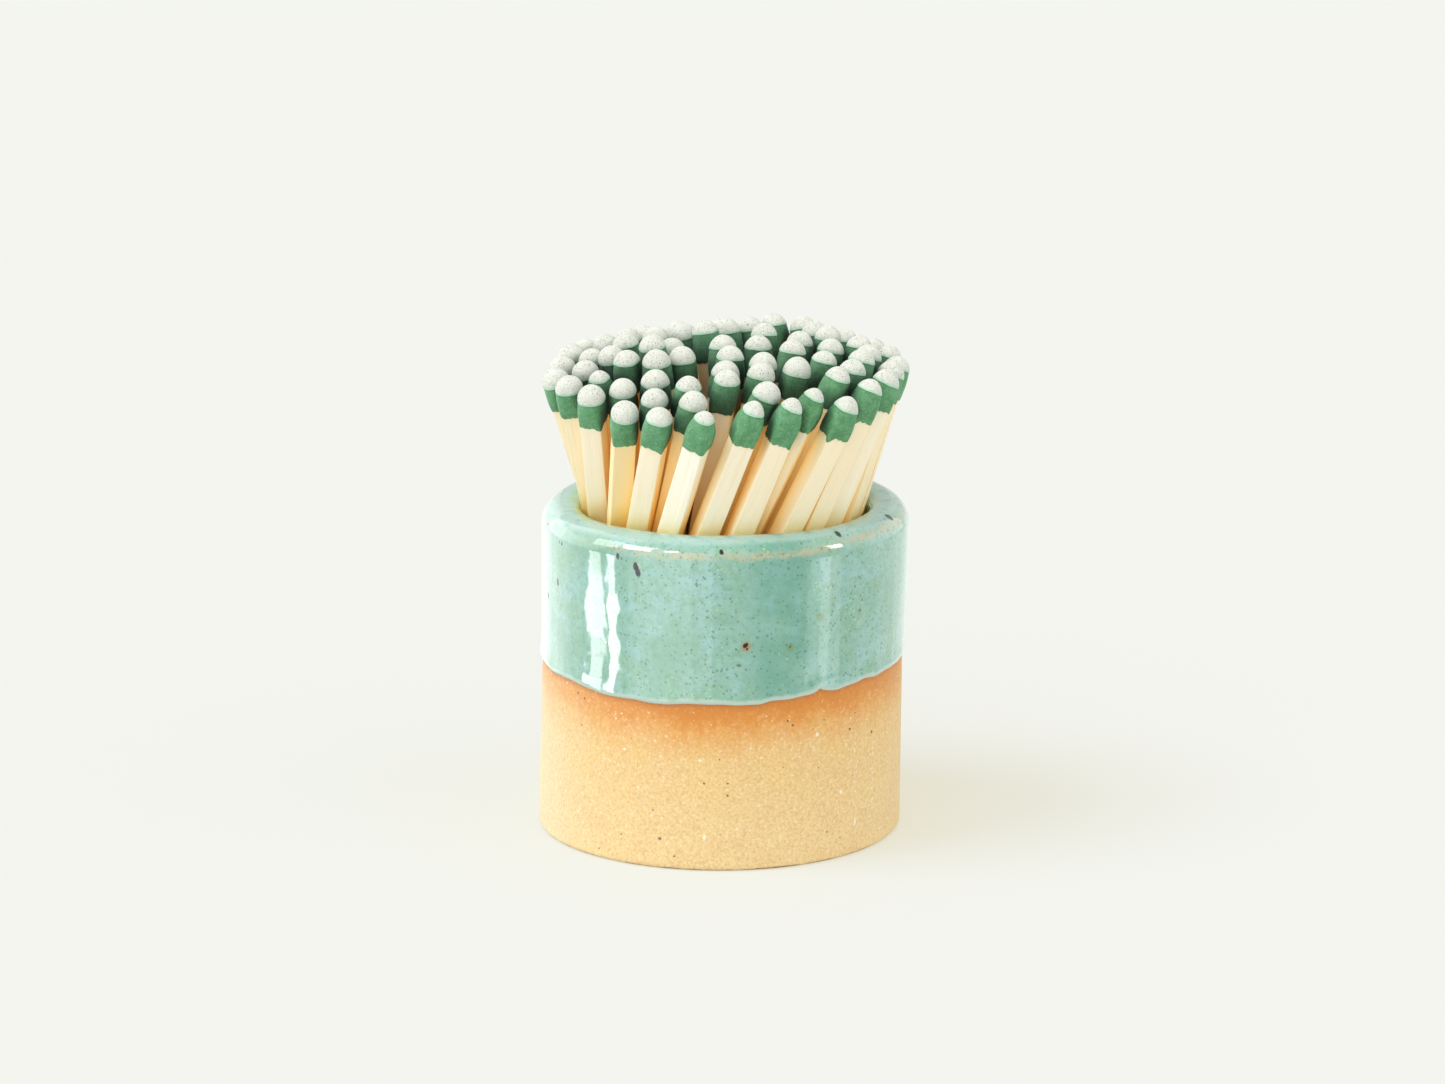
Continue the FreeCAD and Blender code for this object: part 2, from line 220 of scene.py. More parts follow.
# ---------------------------------------------------------------- the pot
# Where the glaze stops, as (degrees from the front towards +X, height). The front follows the
# photograph; round the back the line goes on in the same gentle waves.
GLAZE_LINE = [
    (-180, 18.9), (-160, 18.62), (-143, 18.8), (-126, 19.1), (-110, 18.98), (-95, 18.8), (-78.7, 18.72), (-68.7, 18.51),
    (-65.3, 18.48), (-55.9, 18.60), (-50.5, 18.47), (-45.8, 18.26), (-41.4, 18.17), (-37.3, 18.14), (-29.8, 18.16),
    (-22.9, 18.08), (-18.0, 18.03), (-13.2, 18.21), (-6.9, 18.32), (-0.8, 18.25), (5.4, 18.17), (11.6, 18.24),
    (14.8, 18.45), (21.2, 18.52), (24.6, 18.67), (28.1, 18.74), (30.3, 18.93), (31.4, 19.24), (32.6, 18.99),
    (34.4, 18.83), (37.3, 18.74), (41.4, 18.88), (45.8, 18.97), (50.5, 19.13), (55.9, 18.99), (62.3, 19.07), (68.7, 19.07),
    (76.9, 19.21), (92, 19.12), (108, 18.86), (122, 18.7), (139, 18.95), (150, 19.15), (166, 19.05), (180, 18.9),
]
GLAZE_THICK = 0.27


def glaze_line(deg):
    d, z = np.array(GLAZE_LINE).T
    wave = 0.025 * np.sin(np.radians(deg) * 23 + 1.0) + 0.018 * np.sin(np.radians(deg) * 41 + 2.6)
    return np.interp(deg, d, z) + wave


def pot_radius(z):
    """Outer radius of the clay plus glaze at a height, before the glaze step and the unevenness."""
    return 19.3 - 0.55 * (1 - np.sqrt(np.clip(1 - np.clip((0.55 - z) / 0.55, 0, 1) ** 2, 0, 1)))


def speck_point(deg, z, out=0.0):
    """A point on the finished outer surface of the pot, in millimetres."""
    a = math.radians(deg)
    r = 19.3 + out
    if z > glaze_line(deg):
        r += GLAZE_THICK
    if z > 33.4:
        lift = min(z - 33.4, 2.28)
        r = 17.25 + math.sqrt(max(2.32**2 - lift * lift, 0)) + out
    return pot_bend(r * math.sin(a), -r * math.cos(a), z, deg)


def pot_bend(x, y, z, deg):
    """The hand-made unevenness: a slight lean, a little flare at the upper right and the lower left, and a rim that is not quite level."""
    a = np.radians(deg)
    lean = -0.13 + 0.34 * z / 35.7
    flare = 0.34 * smooth(z, 17.5, 33.0) * np.clip(np.sin(a + 0.1), 0, 1) ** 2
    swell = 0.05 * np.cos(2 * a + 0.6) + 0.035 * np.cos(3 * a - 1.1) * (z / 35.7)
    below = 1 - smooth(z, 16, 22)
    spread = (0.20 * below + 0.26 * (1 - smooth(z, 3, 14))) * np.clip(-np.sin(a), 0, 1) ** 2 + 0.08 * below * np.clip(np.sin(a), 0, 1) ** 2
    k = 1 + (flare + swell + spread) / 19.5
    up = (0.10 * np.sin(2 * a + 0.9) + 0.06 * np.sin(3 * a + 2.2) + 0.035 * np.sin(7 * a)) * smooth(z, 30, 35.7)
    return x * k + lean, y * k, z + up


def make_pot(*materials):
    around = 432
    deg = np.arange(around) / around * 360 - 180
    a = np.radians(deg)
    line = glaze_line(deg)
    rng = np.random.default_rng(11)
    fine = np.zeros(around)
    for k, s in ((19, 0.012), (31, 0.010), (53, 0.008), (77, 0.006)):
        fine += s * np.sin(k * a + rng.uniform(0, TAU))

    rows = []  # each row is (radius, height, signed distance above the glaze line), arrays round the pot
    one = np.ones(around)

    def row(r, z, d):
        rows.append((r * one, z * one, d * one))

    # underside, a shallow turned recess inside the standing ring
    for r, z in ((3, 0.16), (7, 0.16), (11, 0.15), (14.5, 0.14), (16.6, 0.12), (17.5, 0.06), (18.0, 0.0), (18.4, 0.0)):
        row(r, z, -19.0)
    for t in np.linspace(0, math.pi / 2, 9):
        row(18.75 + 0.55 * math.sin(t), 0.55 - 0.55 * math.cos(t), -18.5)
    # bare wall up to just under the glaze; the rows drift to follow the wavy line
    def drift(z0):
        return (line - 18.6) * smooth(z0, 10.0, 18.2)

    for z0 in np.arange(0.9, 18.25, 0.36):
        z = z0 + drift(z0)
        rows.append((19.3 + fine * smooth(z0, 1, 6), z, z - line))
    for d in (-0.22, -0.12, -0.05, -0.01):
        rows.append((19.3 + fine - 0.03 * math.exp(-((d / 0.15) ** 2)), line + d, d * one))
    # the rolled edge of the glaze: up quickly, a little bead, then the level coat
    for d in (0.0, 0.012, 0.04, 0.08, 0.14, 0.21, 0.29, 0.38, 0.48, 0.62, 0.8, 1.0, 1.25, 1.55, 1.9, 2.3):
        rise = math.sqrt(max(0.0, 1 - (1 - min(d / 0.36, 1)) ** 2))
        bead = 0.045 * math.exp(-(((d - 0.55) / 0.5) ** 2))
        rows.append((19.3 + fine * 0.7 + (GLAZE_THICK + bead) * rise, line + d, d * one))
    for z0 in np.arange(21.3, 33.3, 0.38):
        z = z0 + (line - 18.6) * (1 - smooth(z0, 20.9, 27.0))
        rows.append((19.3 + GLAZE_THICK + fine * 0.4, z, z - line))
    # outer shoulder, a softly domed crown, inner lip
    for t in np.linspace(0, math.pi / 2 * 0.985, 22):
        row(17.25 + 2.32 * math.cos(t), 33.4 + 2.28 * math.sin(t), 15)
    for r in (17.08, 16.92, 16.76):
        row(r, 35.70, 15)
    for t in np.linspace(math.pi / 2 * 1.015, math.pi, 18):
        row(16.6 + 1.5 * math.cos(t), 34.2 + 1.48 * math.sin(t), 15)
    # inside: straight throat, slight undercut, wall, rounded floor
    for r, z in ((15.1, 33.6), (15.1, 33.0), (15.12, 32.5), (15.3, 32.1), (15.5, 31.7), (15.6, 31.2)):
        row(r, z, 15)
    for z in np.arange(30.0, 5.2, -1.6):
        row(15.6, z, 15)
    for t in np.linspace(0, math.pi / 2, 6):
        row(14.6 + math.cos(t), 5.0 - math.sin(t), 15)
    for r in (12, 9, 6, 3):
        row(r, 4.0, 15)

    points, dist = [], []
    for r, z, d in rows:
        x, y, zz = pot_bend(r * np.sin(a), -r * np.cos(a), z, deg)
        zz = np.where(z < 0.01, 0.0, zz)
        points.append(np.stack([x, y, zz], 1))
        dist.append(d)
    n = len(rows)
    points = np.concatenate(points)
    dist = np.concatenate(dist)
    i = np.arange(around)
    j = (i + 1) % around
    quads = []
    for k in range(n - 1):
        quads.append(np.stack([k * around + i, k * around + j, (k + 1) * around + j, (k + 1) * around + i], 1))
    quads = np.concatenate(quads)
    low, high = len(points), len(points) + 1
    points = np.concatenate([points, [[-0.13, 0, 0.16]], [[-0.09, 0, 4.0]]])
    dist = np.concatenate([dist, [-19.0, 15.0]])
    tris = np.concatenate([
        np.stack([np.full(around, low), j, i], 1),
        np.stack([np.full(around, high), (n - 1) * around + i, (n - 1) * around + j], 1),
    ])
    glazed = dist[quads].min(1) >= -0.001
    which = np.concatenate([glazed.astype(int), np.zeros(around, int), np.ones(around, int)])
    return mesh_piece("pot", points, quads, tris, {"above_line": dist}, materials, "striker_pot", which=which)


# Marks seen on the clay and the glaze: degrees from the front, height, half width, half height, lean,
# and for a mark on the crown the half depth
IRON_ON_GLAZE = [
    (-28.05, 32.60, 0.32, 0.48, -8), (-27.3, 32.02, 0.32, 0.46, -14), (-34.6, 33.5, 0.20, 0.38, -6), (-0.9, 34.62, 0.22, 0.27, -20),
    (39.9, 35.45, 0.31, 0.60, 0, 0.50), (69.0, 35.40, 0.47, 0.58, 0, 0.50), (-63.8, 28.70, 0.22, 0.44, -12), (-62.8, 33.3, 0.09, 0.20, 18), (-61.2, 33.21, 0.18, 0.22, 0),
    (-75.2, 34.3, 0.12, 0.16, 0), (-72.5, 26.5, 0.18, 0.36, -6),
]
CRATER = (6.6, 24.66)
OLIVE = [(20.9, 24.23), (31.0, 27.1)]
DARK_ON_CLAY = [
    (20.6, 16.20, 0.12), (22.3, 15.60, 0.14), (44.1, 14.10, 0.15), (55.0, 12.95, 0.17), (46.3, 15.70, 0.09), (33.5, 15.73, 0.09),
    (-5.6, 9.67, 0.13), (1.7, 9.69, 0.10), (1.7, 8.38, 0.13), (-19.6, 3.31, 0.17), (-14.9, 1.53, 0.11), (35.3, 3.32, 0.11),
    (-22.0, 6.41, 0.09), (-0.8, 12.3, 0.09), (-41.5, 1.1, 0.09), (-33.0, 3.2, 0.10), (-29.5, 13.9, 0.07), (29.6, 14.9, 0.07),
    (-52.0, 17.5, 0.13), (-48.8, 17.1, 0.11), (-50.0, 14.1, 0.09), (31.5, 10.6, 0.08), (40.5, 2.3, 0.08),
    (104, 12.2, 0.16), (131, 7.3, 0.12), (158, 14.6, 0.14), (-171, 5.2, 0.13), (-148, 11.7, 0.16), (-122, 15.3, 0.11), (-101, 6.9, 0.14),
    (-133, 3.4, 0.12), (176, 10.8, 0.10), (118, 3.9, 0.15),
]
PALE_ON_CLAY = [(40.6, 7.39, 0.17, 0.22), (31.0, 14.23, 0.17, 0.22), (-5.4, 3.75, 0.13, 0.30), (-32.2, 12.6, 0.18, 0.14), (-7.0, 12.2, 0.16, 0.12)]
SCRATCHES = [(47.3, 7.6, 0.10, 2.3, 2), (55.9, 8.3, 0.10, 3.9, 1), (47.0, 3.1, 0.22, 0.9, 4)]


def oval(n, place, deg, z, half_w, half_h, lean, depth=1.2, edge=0.35):
    """1 inside an oval mark lying on the pot's wall, 0 outside, with a soft edge."""
    centre = [v * MM for v in speck_point(deg, z)]
    turn = Matrix.Rotation(math.radians(deg), 3, "Z") @ Matrix.Rotation(math.radians(lean), 3, "Y")
    away = n.vector("SUBTRACT", place, centre)
    total = None
    for axis, size in ((0, half_w), (1, depth), (2, half_h)):
        part = n.vector("DOT_PRODUCT", away, [v / (size * MM) for v in turn.col[axis]], value=True)
        total = n.math("MULTIPLY", part, part) if total is None else n.math("MULTIPLY_ADD", part, part, total)
    return n.range(n.math("SQRT", total), 1 + edge, 1 - edge)


def ovals(n, place, marks, edge=0.35):
    out = None
    for mark in marks:
        one = oval(n, place, *mark, edge=edge)
        out = one if out is None else n.math("MAXIMUM", out, one)
    return out


def dots(n, place, marks, edge=0.45):
    out = None
    for deg, z, r in marks:
        away = n.vector("DISTANCE", place, [v * MM for v in speck_point(deg, z)], value=True)
        one = n.range(away, r * (1 + edge) * MM, r * (1 - edge) * MM)
        out = one if out is None else n.math("MAXIMUM", out, one)
    return out


def shaken_place(n, place, reach=0.00022):
    """The position with a fine random shift, so that marks get irregular outlines."""
    r, g, b = n.channels(n.noise(place, 2600, 2, colour=True))
    shift = n.node("ShaderNodeCombineXYZ", {0: r, 1: g, 2: b}).outputs[0]
    step = n.node("ShaderNodeVectorMath", {0: shift, 1: (reach,) * 3, 2: (-reach / 2,) * 3}, operation="MULTIPLY_ADD").outputs[0]
    return n.vector("ADD", place, step)


def glaze_material():
    n = Net("stoneware_glaze")
    place = n.place()
    above = n.attribute("above_line")
    x, y, z = n.split(place)
    z = n.math("MULTIPLY", z, 1000.0)
    theta = n.math("ARCTAN2", x, n.math("MULTIPLY", y, -1.0))  # radians, 0 at the front, + towards +X
    shaken = shaken_place(n, place)

    # soft clouds of green, aqua and sky blue in a smooth coat
    broad = n.noise(place, 130, 2, 0.5)
    patch = n.noise(place, 300, 3, 0.6, 0.3)
    green = n.noise(place, 480, 3, 0.65, 0.3)
    mottle = n.noise(place, 1500, 3, 0.65)
    glaze = n.mix(n.range(broad, 0.36, 0.64), linear(141, 184, 163), linear(150, 191, 176))
    glaze = n.mix(n.range(patch, 0.42, 0.68, 0, 0.70), glaze, linear(158, 200, 200))
    glaze = n.mix(n.range(green, 0.46, 0.70, 0, 0.60), glaze, linear(132, 177, 147))
    glaze = n.mix(n.range(mottle, 0.28, 0.60, 0.45, 0.0), glaze, linear(112, 164, 138))
    # darker glaze right of centre
    deep = n.math("MULTIPLY", n.range(theta, 0.06, 0.26), n.range(theta, 0.60, 0.40))
    deep = n.math("MULTIPLY", deep, n.range(n.noise(place, 210, 2, 0.5), 0.30, 0.58, 0.35, 1.0))
    glaze = n.mix(n.math("MULTIPLY", deep, 0.58), glaze, linear(96, 158, 140))
    # islands of tiny yellow-green crystals, olive and dark green pinpoints
    island = n.range(n.noise(place, 330, 3, 0.6), 0.48, 0.66)
    crowd = n.range(n.noise(place, 250, 2, 0.5), 0.34, 0.62, 0.65, 1.0)
    crowd = n.math("MULTIPLY", crowd, n.math("MAXIMUM", n.range(theta, -0.95, -0.60, 0.40, 1.0), n.range(theta, -1.5, -1.9)))
    for scale, low, size, colour_of, share, rare, where in (
        (2300, 0.16, 0.22, linear(178, 208, 158), 0.70, 0.0, island),
        (1900, 0.13, 0.16, linear(86, 134, 106), 0.66, -0.1, crowd),
        (1150, 0.06, 0.12, linear(100, 118, 78), 0.75, 0.25, crowd),
        (520, 0.04, 0.05, linear(96, 84, 54), 0.80, 0.50, crowd),
    ):
        dist, colour = n.cells(shaken, scale)
        pick = n.channels(colour)
        reach = n.math("MULTIPLY_ADD", pick[0], size, low)
        spot = n.range(n.math("SUBTRACT", dist, reach), 0.07, -0.05)
        spot = n.times(spot, n.range(pick[1], rare, rare + 0.35, 0, share), where)
        glaze = n.mix(spot, glaze, colour_of)

    # the coat breaks to a thin beige and rust line over the shoulder
    ragged = n.math("ADD", z, n.range(n.noise(place, 1000, 3, 0.6), 0.2, 0.8, -0.35, 0.35, False))
    ragged = n.math("SUBTRACT", ragged, n.range(theta, 0.45, 0.85, 0, 0.45))
    band = n.math("MULTIPLY", n.range(ragged, 33.62, 34.15), n.range(ragged, 34.95, 34.35))
    radius = n.math("SQRT", n.math("ADD", n.math("MULTIPLY", x, x), n.math("MULTIPLY", y, y)))
    band = n.math("MULTIPLY", band, n.range(radius, 0.0176, 0.0181))
    around = n.range(n.math("ABSOLUTE", n.math("SUBTRACT", theta, 0.45)), 1.30, 0.75, 0.22, 1.0)
    band = n.times(band, around, n.range(n.noise(place, 430, 3, 0.7), 0.36, 0.58, 0.35, 1.0))
    speckled = n.math("MULTIPLY", band, n.range(n.noise(shaken, 1700, 2, 0.6), 0.38, 0.58, 0.45, 1.0))
    glaze = n.mix(n.math("MULTIPLY", speckled, 0.86), glaze, linear(190, 184, 152))
    for scale, low, size, colour_of, share, rare in (
        (1700, 0.10, 0.20, linear(148, 124, 84), 0.65, 0.10), (800, 0.08, 0.14, linear(176, 138, 84), 0.60, 0.40), (900, 0.03, 0.10, linear(84, 70, 50), 0.85, 0.40),
    ):
        dist, colour = n.cells(shaken, scale)
        pick = n.channels(colour)
        spot = n.range(n.math("SUBTRACT", dist, n.math("MULTIPLY_ADD", pick[0], size, low)), 0.07, -0.05)
        spot = n.times(spot, n.range(pick[1], rare, rare + 0.3, 0, share), n.range(band, 0.15, 0.5))
        glaze = n.mix(spot, glaze, colour_of)
    # crown: more saturated, with deep teal pools, and a greener line at the mouth
    crown = n.math("MULTIPLY", n.range(z, 34.35, 34.9), n.range(radius, 0.0190, 0.0184))
    glaze = n.mix(n.math("MULTIPLY", crown, 0.62), glaze, linear(176, 206, 203))
    pool = n.range(n.noise(place, 420, 3, 0.6, 0.4), 0.50, 0.66)
    glaze = n.mix(n.times(pool, crown, 0.55), glaze, linear(108, 174, 164))
    tan = n.range(n.noise(place, 560, 3, 0.6, 0.3), 0.54, 0.66)
    glaze = n.mix(n.times(tan, crown, 0.40), glaze, linear(190, 196, 166))
    mouth = n.math("MULTIPLY", n.range(radius, 0.0169, 0.0160), n.range(z, 33.2, 34.4))
    glaze = n.mix(n.math("MULTIPLY", mouth, 0.7), glaze, linear(160, 194, 142))
    # inside the pot the coat is paler and greyer
    inside = n.math("MULTIPLY", n.range(radius, 0.0160, 0.0154), n.range(z, 34.9, 33.8))
    glaze = n.mix(n.math("MULTIPLY", inside, 0.7), glaze, linear(188, 204, 178))

    # iron marks
    iron = ovals(n, shaken, IRON_ON_GLAZE, edge=0.26)
    glaze = n.mix(n.math("MULTIPLY", iron, 0.97), glaze, linear(22, 22, 28))
    halo = oval(n, shaken, CRATER[0] + 0.3, CRATER[1] - 0.08, 0.46, 0.56, 0, edge=0.5)
    glaze = n.mix(n.math("MULTIPLY", halo, 0.75), glaze, linear(176, 120, 66))
    pit = ovals(n, shaken, ((CRATER[0] + 0.2, CRATER[1] + 0.10, 0.22, 0.32, 38), (CRATER[0] + 0.6, CRATER[1] - 0.34, 0.12, 0.16, 0)), 0.3)
    glaze = n.mix(pit, glaze, linear(22, 10, 6))
    olive = ovals(n, shaken, [(d, h, 0.42, 0.42, 0) for d, h in OLIVE], 0.6)
    glaze = n.mix(n.math("MULTIPLY", olive, 0.6), glaze, linear(124, 142, 74))
    core = dots(n, shaken, ((20.7, 24.3, 0.13), (3.8, 24.36, 0.11), (19.5, 24.55, 0.085)))
    glaze = n.mix(n.math("MULTIPLY", core, 0.8), glaze, linear(56, 62, 34))
    # the thin pale rolled edge, and a darker teal streak just above it on the right
    teal_streak = oval(n, shaken, 31.5, 20.25, 2.3, 0.24, -9, edge=0.8)
    glaze = n.mix(n.math("MULTIPLY", teal_streak, 0.42), glaze, linear(90, 152, 144))
    edge_noise = n.range(n.noise(place, 700, 2), 0.3, 0.7, -0.12, 0.12, False)
    rim = n.range(n.math("ADD", above, edge_noise), 0.80, 0.28)
    glaze = n.mix(n.math("MULTIPLY", rim, 0.80), glaze, linear(198, 214, 204))

    shine = n.range(n.noise(place, 900, 2), 0.3, 0.7, 0.045, 0.075, False)
    shine = n.math("MULTIPLY_ADD", n.top(iron, pit), 0.25, shine)
    normal = n.bump(n.noise(place, 190, 2, 0.5), 0.35, 0.00035)
    normal = n.bump(n.math("MULTIPLY", n.top(pit, iron), -1.0), 0.5, 0.00008, normal)
    return n.finish(Base_Color=glaze, Roughness=shine, IOR=1.5, Normal=normal)


def clay_material():
    n = Net("stoneware_bare")
    place = n.place()
    above = n.attribute("above_line")
    x, y, z = n.split(place)
    z = n.math("MULTIPLY", z, 1000.0)
    theta = n.math("ARCTAN2", x, n.math("MULTIPLY", y, -1.0))
    shaken = shaken_place(n, place)

    grain = n.noise(place, 3200, 4, 0.75)
    sandy = n.noise(place, 1500, 3, 0.7)
    cloud = n.noise(place, 260, 3, 0.55)
    # painted light: the clay is painted paler towards the foot
    clay = n.mix(n.range(z, 18.0, 2.0, 0, 0.75), linear(233, 195, 125), linear(241, 212, 157))
    clay = n.mix(n.range(cloud, 0.38, 0.66, 0, 0.6), clay, linear(234, 198, 142))
    # painted highlight: the clay is painted paler round the left side, where the key light falls
    clay = n.mix(n.range(theta, -0.70, -1.35, 0, 0.36), clay, linear(250, 233, 202))
    # orange flash under the glaze, deepest right of centre
    side = n.range(n.math("ABSOLUTE", n.math("SUBTRACT", theta, 0.30)), 1.5, 0.35, 0.42, 1.0)
    depth = n.math("MULTIPLY", above, -1.0)
    depth = n.math("ADD", depth, n.range(n.noise(place, 150, 2, 0.5), 0.25, 0.75, -1.0, 1.0, False))
    depth = n.math("ADD", depth, n.range(sandy, 0.25, 0.75, -0.9, 0.9, False))
    flash = n.math("MULTIPLY", n.range(depth, 7.0, 0.6), side)
    clay = n.mix(n.math("MULTIPLY", flash, 0.88), clay, linear(227, 146, 50))
    burnt = n.math("MULTIPLY", n.range(depth, 3.4, 0.0), side)
    clay = n.mix(n.math("MULTIPLY", burnt, 0.85), clay, linear(213, 128, 38))
    # a darker brown line just under the glaze edge
    lip = n.range(n.math("ADD", above, n.range(sandy, 0.25, 0.75, -0.25, 0.25, False)), -0.85, -0.10)
    clay = n.mix(n.math("MULTIPLY", lip, 0.50), clay, linear(200, 116, 54))
    # sandy grain
    clay = n.mix(n.range(grain, 0.53, 0.33, 0, 0.42), clay, linear(196, 146, 84))
    calm = n.math("MULTIPLY_ADD", flash, -0.65, 1.0)
    clay = n.mix(n.math("MULTIPLY", n.range(grain, 0.54, 0.70, 0, 0.62), calm), clay, linear(254, 240, 208))
    clay = n.mix(n.math("MULTIPLY", n.range(sandy, 0.55, 0.75, 0, 0.30), calm), clay, linear(250, 230, 188))
    # grog: small pale and brown grains, and the marks seen in the photograph
    dist, colour = n.cells(shaken, 1700)
    pick = n.channels(colour)
    reach = n.math("MULTIPLY_ADD", pick[2], 0.13, 0.06)
    pale = n.math("MULTIPLY", n.range(n.math("SUBTRACT", dist, reach), 0.06, -0.04), n.range(pick[0], 0.70, 0.92, 0, 0.70))
    clay = n.mix(pale, clay, linear(254, 244, 220))
    brown = n.math("MULTIPLY", n.range(n.math("SUBTRACT", dist, reach), 0.06, -0.04), n.range(pick[1], 0.90, 0.98, 0, 0.60))
    clay = n.mix(brown, clay, linear(158, 112, 72))
    big_dist, big_colour = n.cells(shaken, 640)
    big_pick = n.channels(big_colour)
    chunk = n.math("MULTIPLY", n.range(big_dist, 0.13, 0.07), n.range(big_pick[0], 0.86, 0.97, 0, 0.55))
    clay = n.mix(chunk, clay, linear(250, 240, 214))
    dark = dots(n, shaken, DARK_ON_CLAY)
    clay = n.mix(n.math("MULTIPLY", dark, 0.85), clay, linear(92, 58, 40))
    white = ovals(n, shaken, [(d, h, rw, rh, 0) for d, h, rw, rh in PALE_ON_CLAY], 0.4)
    clay = n.mix(n.math("MULTIPLY", white, 0.85), clay, linear(250, 244, 224))
    broken = n.range(n.noise(shaken, 1700, 2, 0.6), 0.48, 0.58)
    scratch = n.math("MULTIPLY", ovals(n, shaken, SCRATCHES), broken)
    clay = n.mix(n.math("MULTIPLY", scratch, 0.75), clay, linear(252, 244, 230))
    # painted shadow: a ragged dark brown line along the standing edge stands in for the contact shadow where the foot
    # meets the floor
    contact_shadow_line = n.math("ADD", z, n.range(n.noise(place, 420, 3, 0.6), 0.3, 0.7, -0.09, 0.09, False))
    clay = n.mix(n.range(contact_shadow_line, 0.24, 0.10, 0, 0.88), clay, linear(112, 62, 38))

    pitting = n.math("MULTIPLY_ADD", pale, 0.4, grain)
    pitting = n.math("SUBTRACT", pitting, n.math("MULTIPLY", dark, 0.8))
    return n.finish(
        Base_Color=clay, Roughness=n.range(grain, 0.3, 0.7, 0.80, 0.95, False), IOR=1.5, Normal=n.bump(pitting, 0.45, 0.00008),
        Sheen_Weight=0.30, Sheen_Roughness=0.45, Sheen_Tint=linear(255, 246, 232),
    )


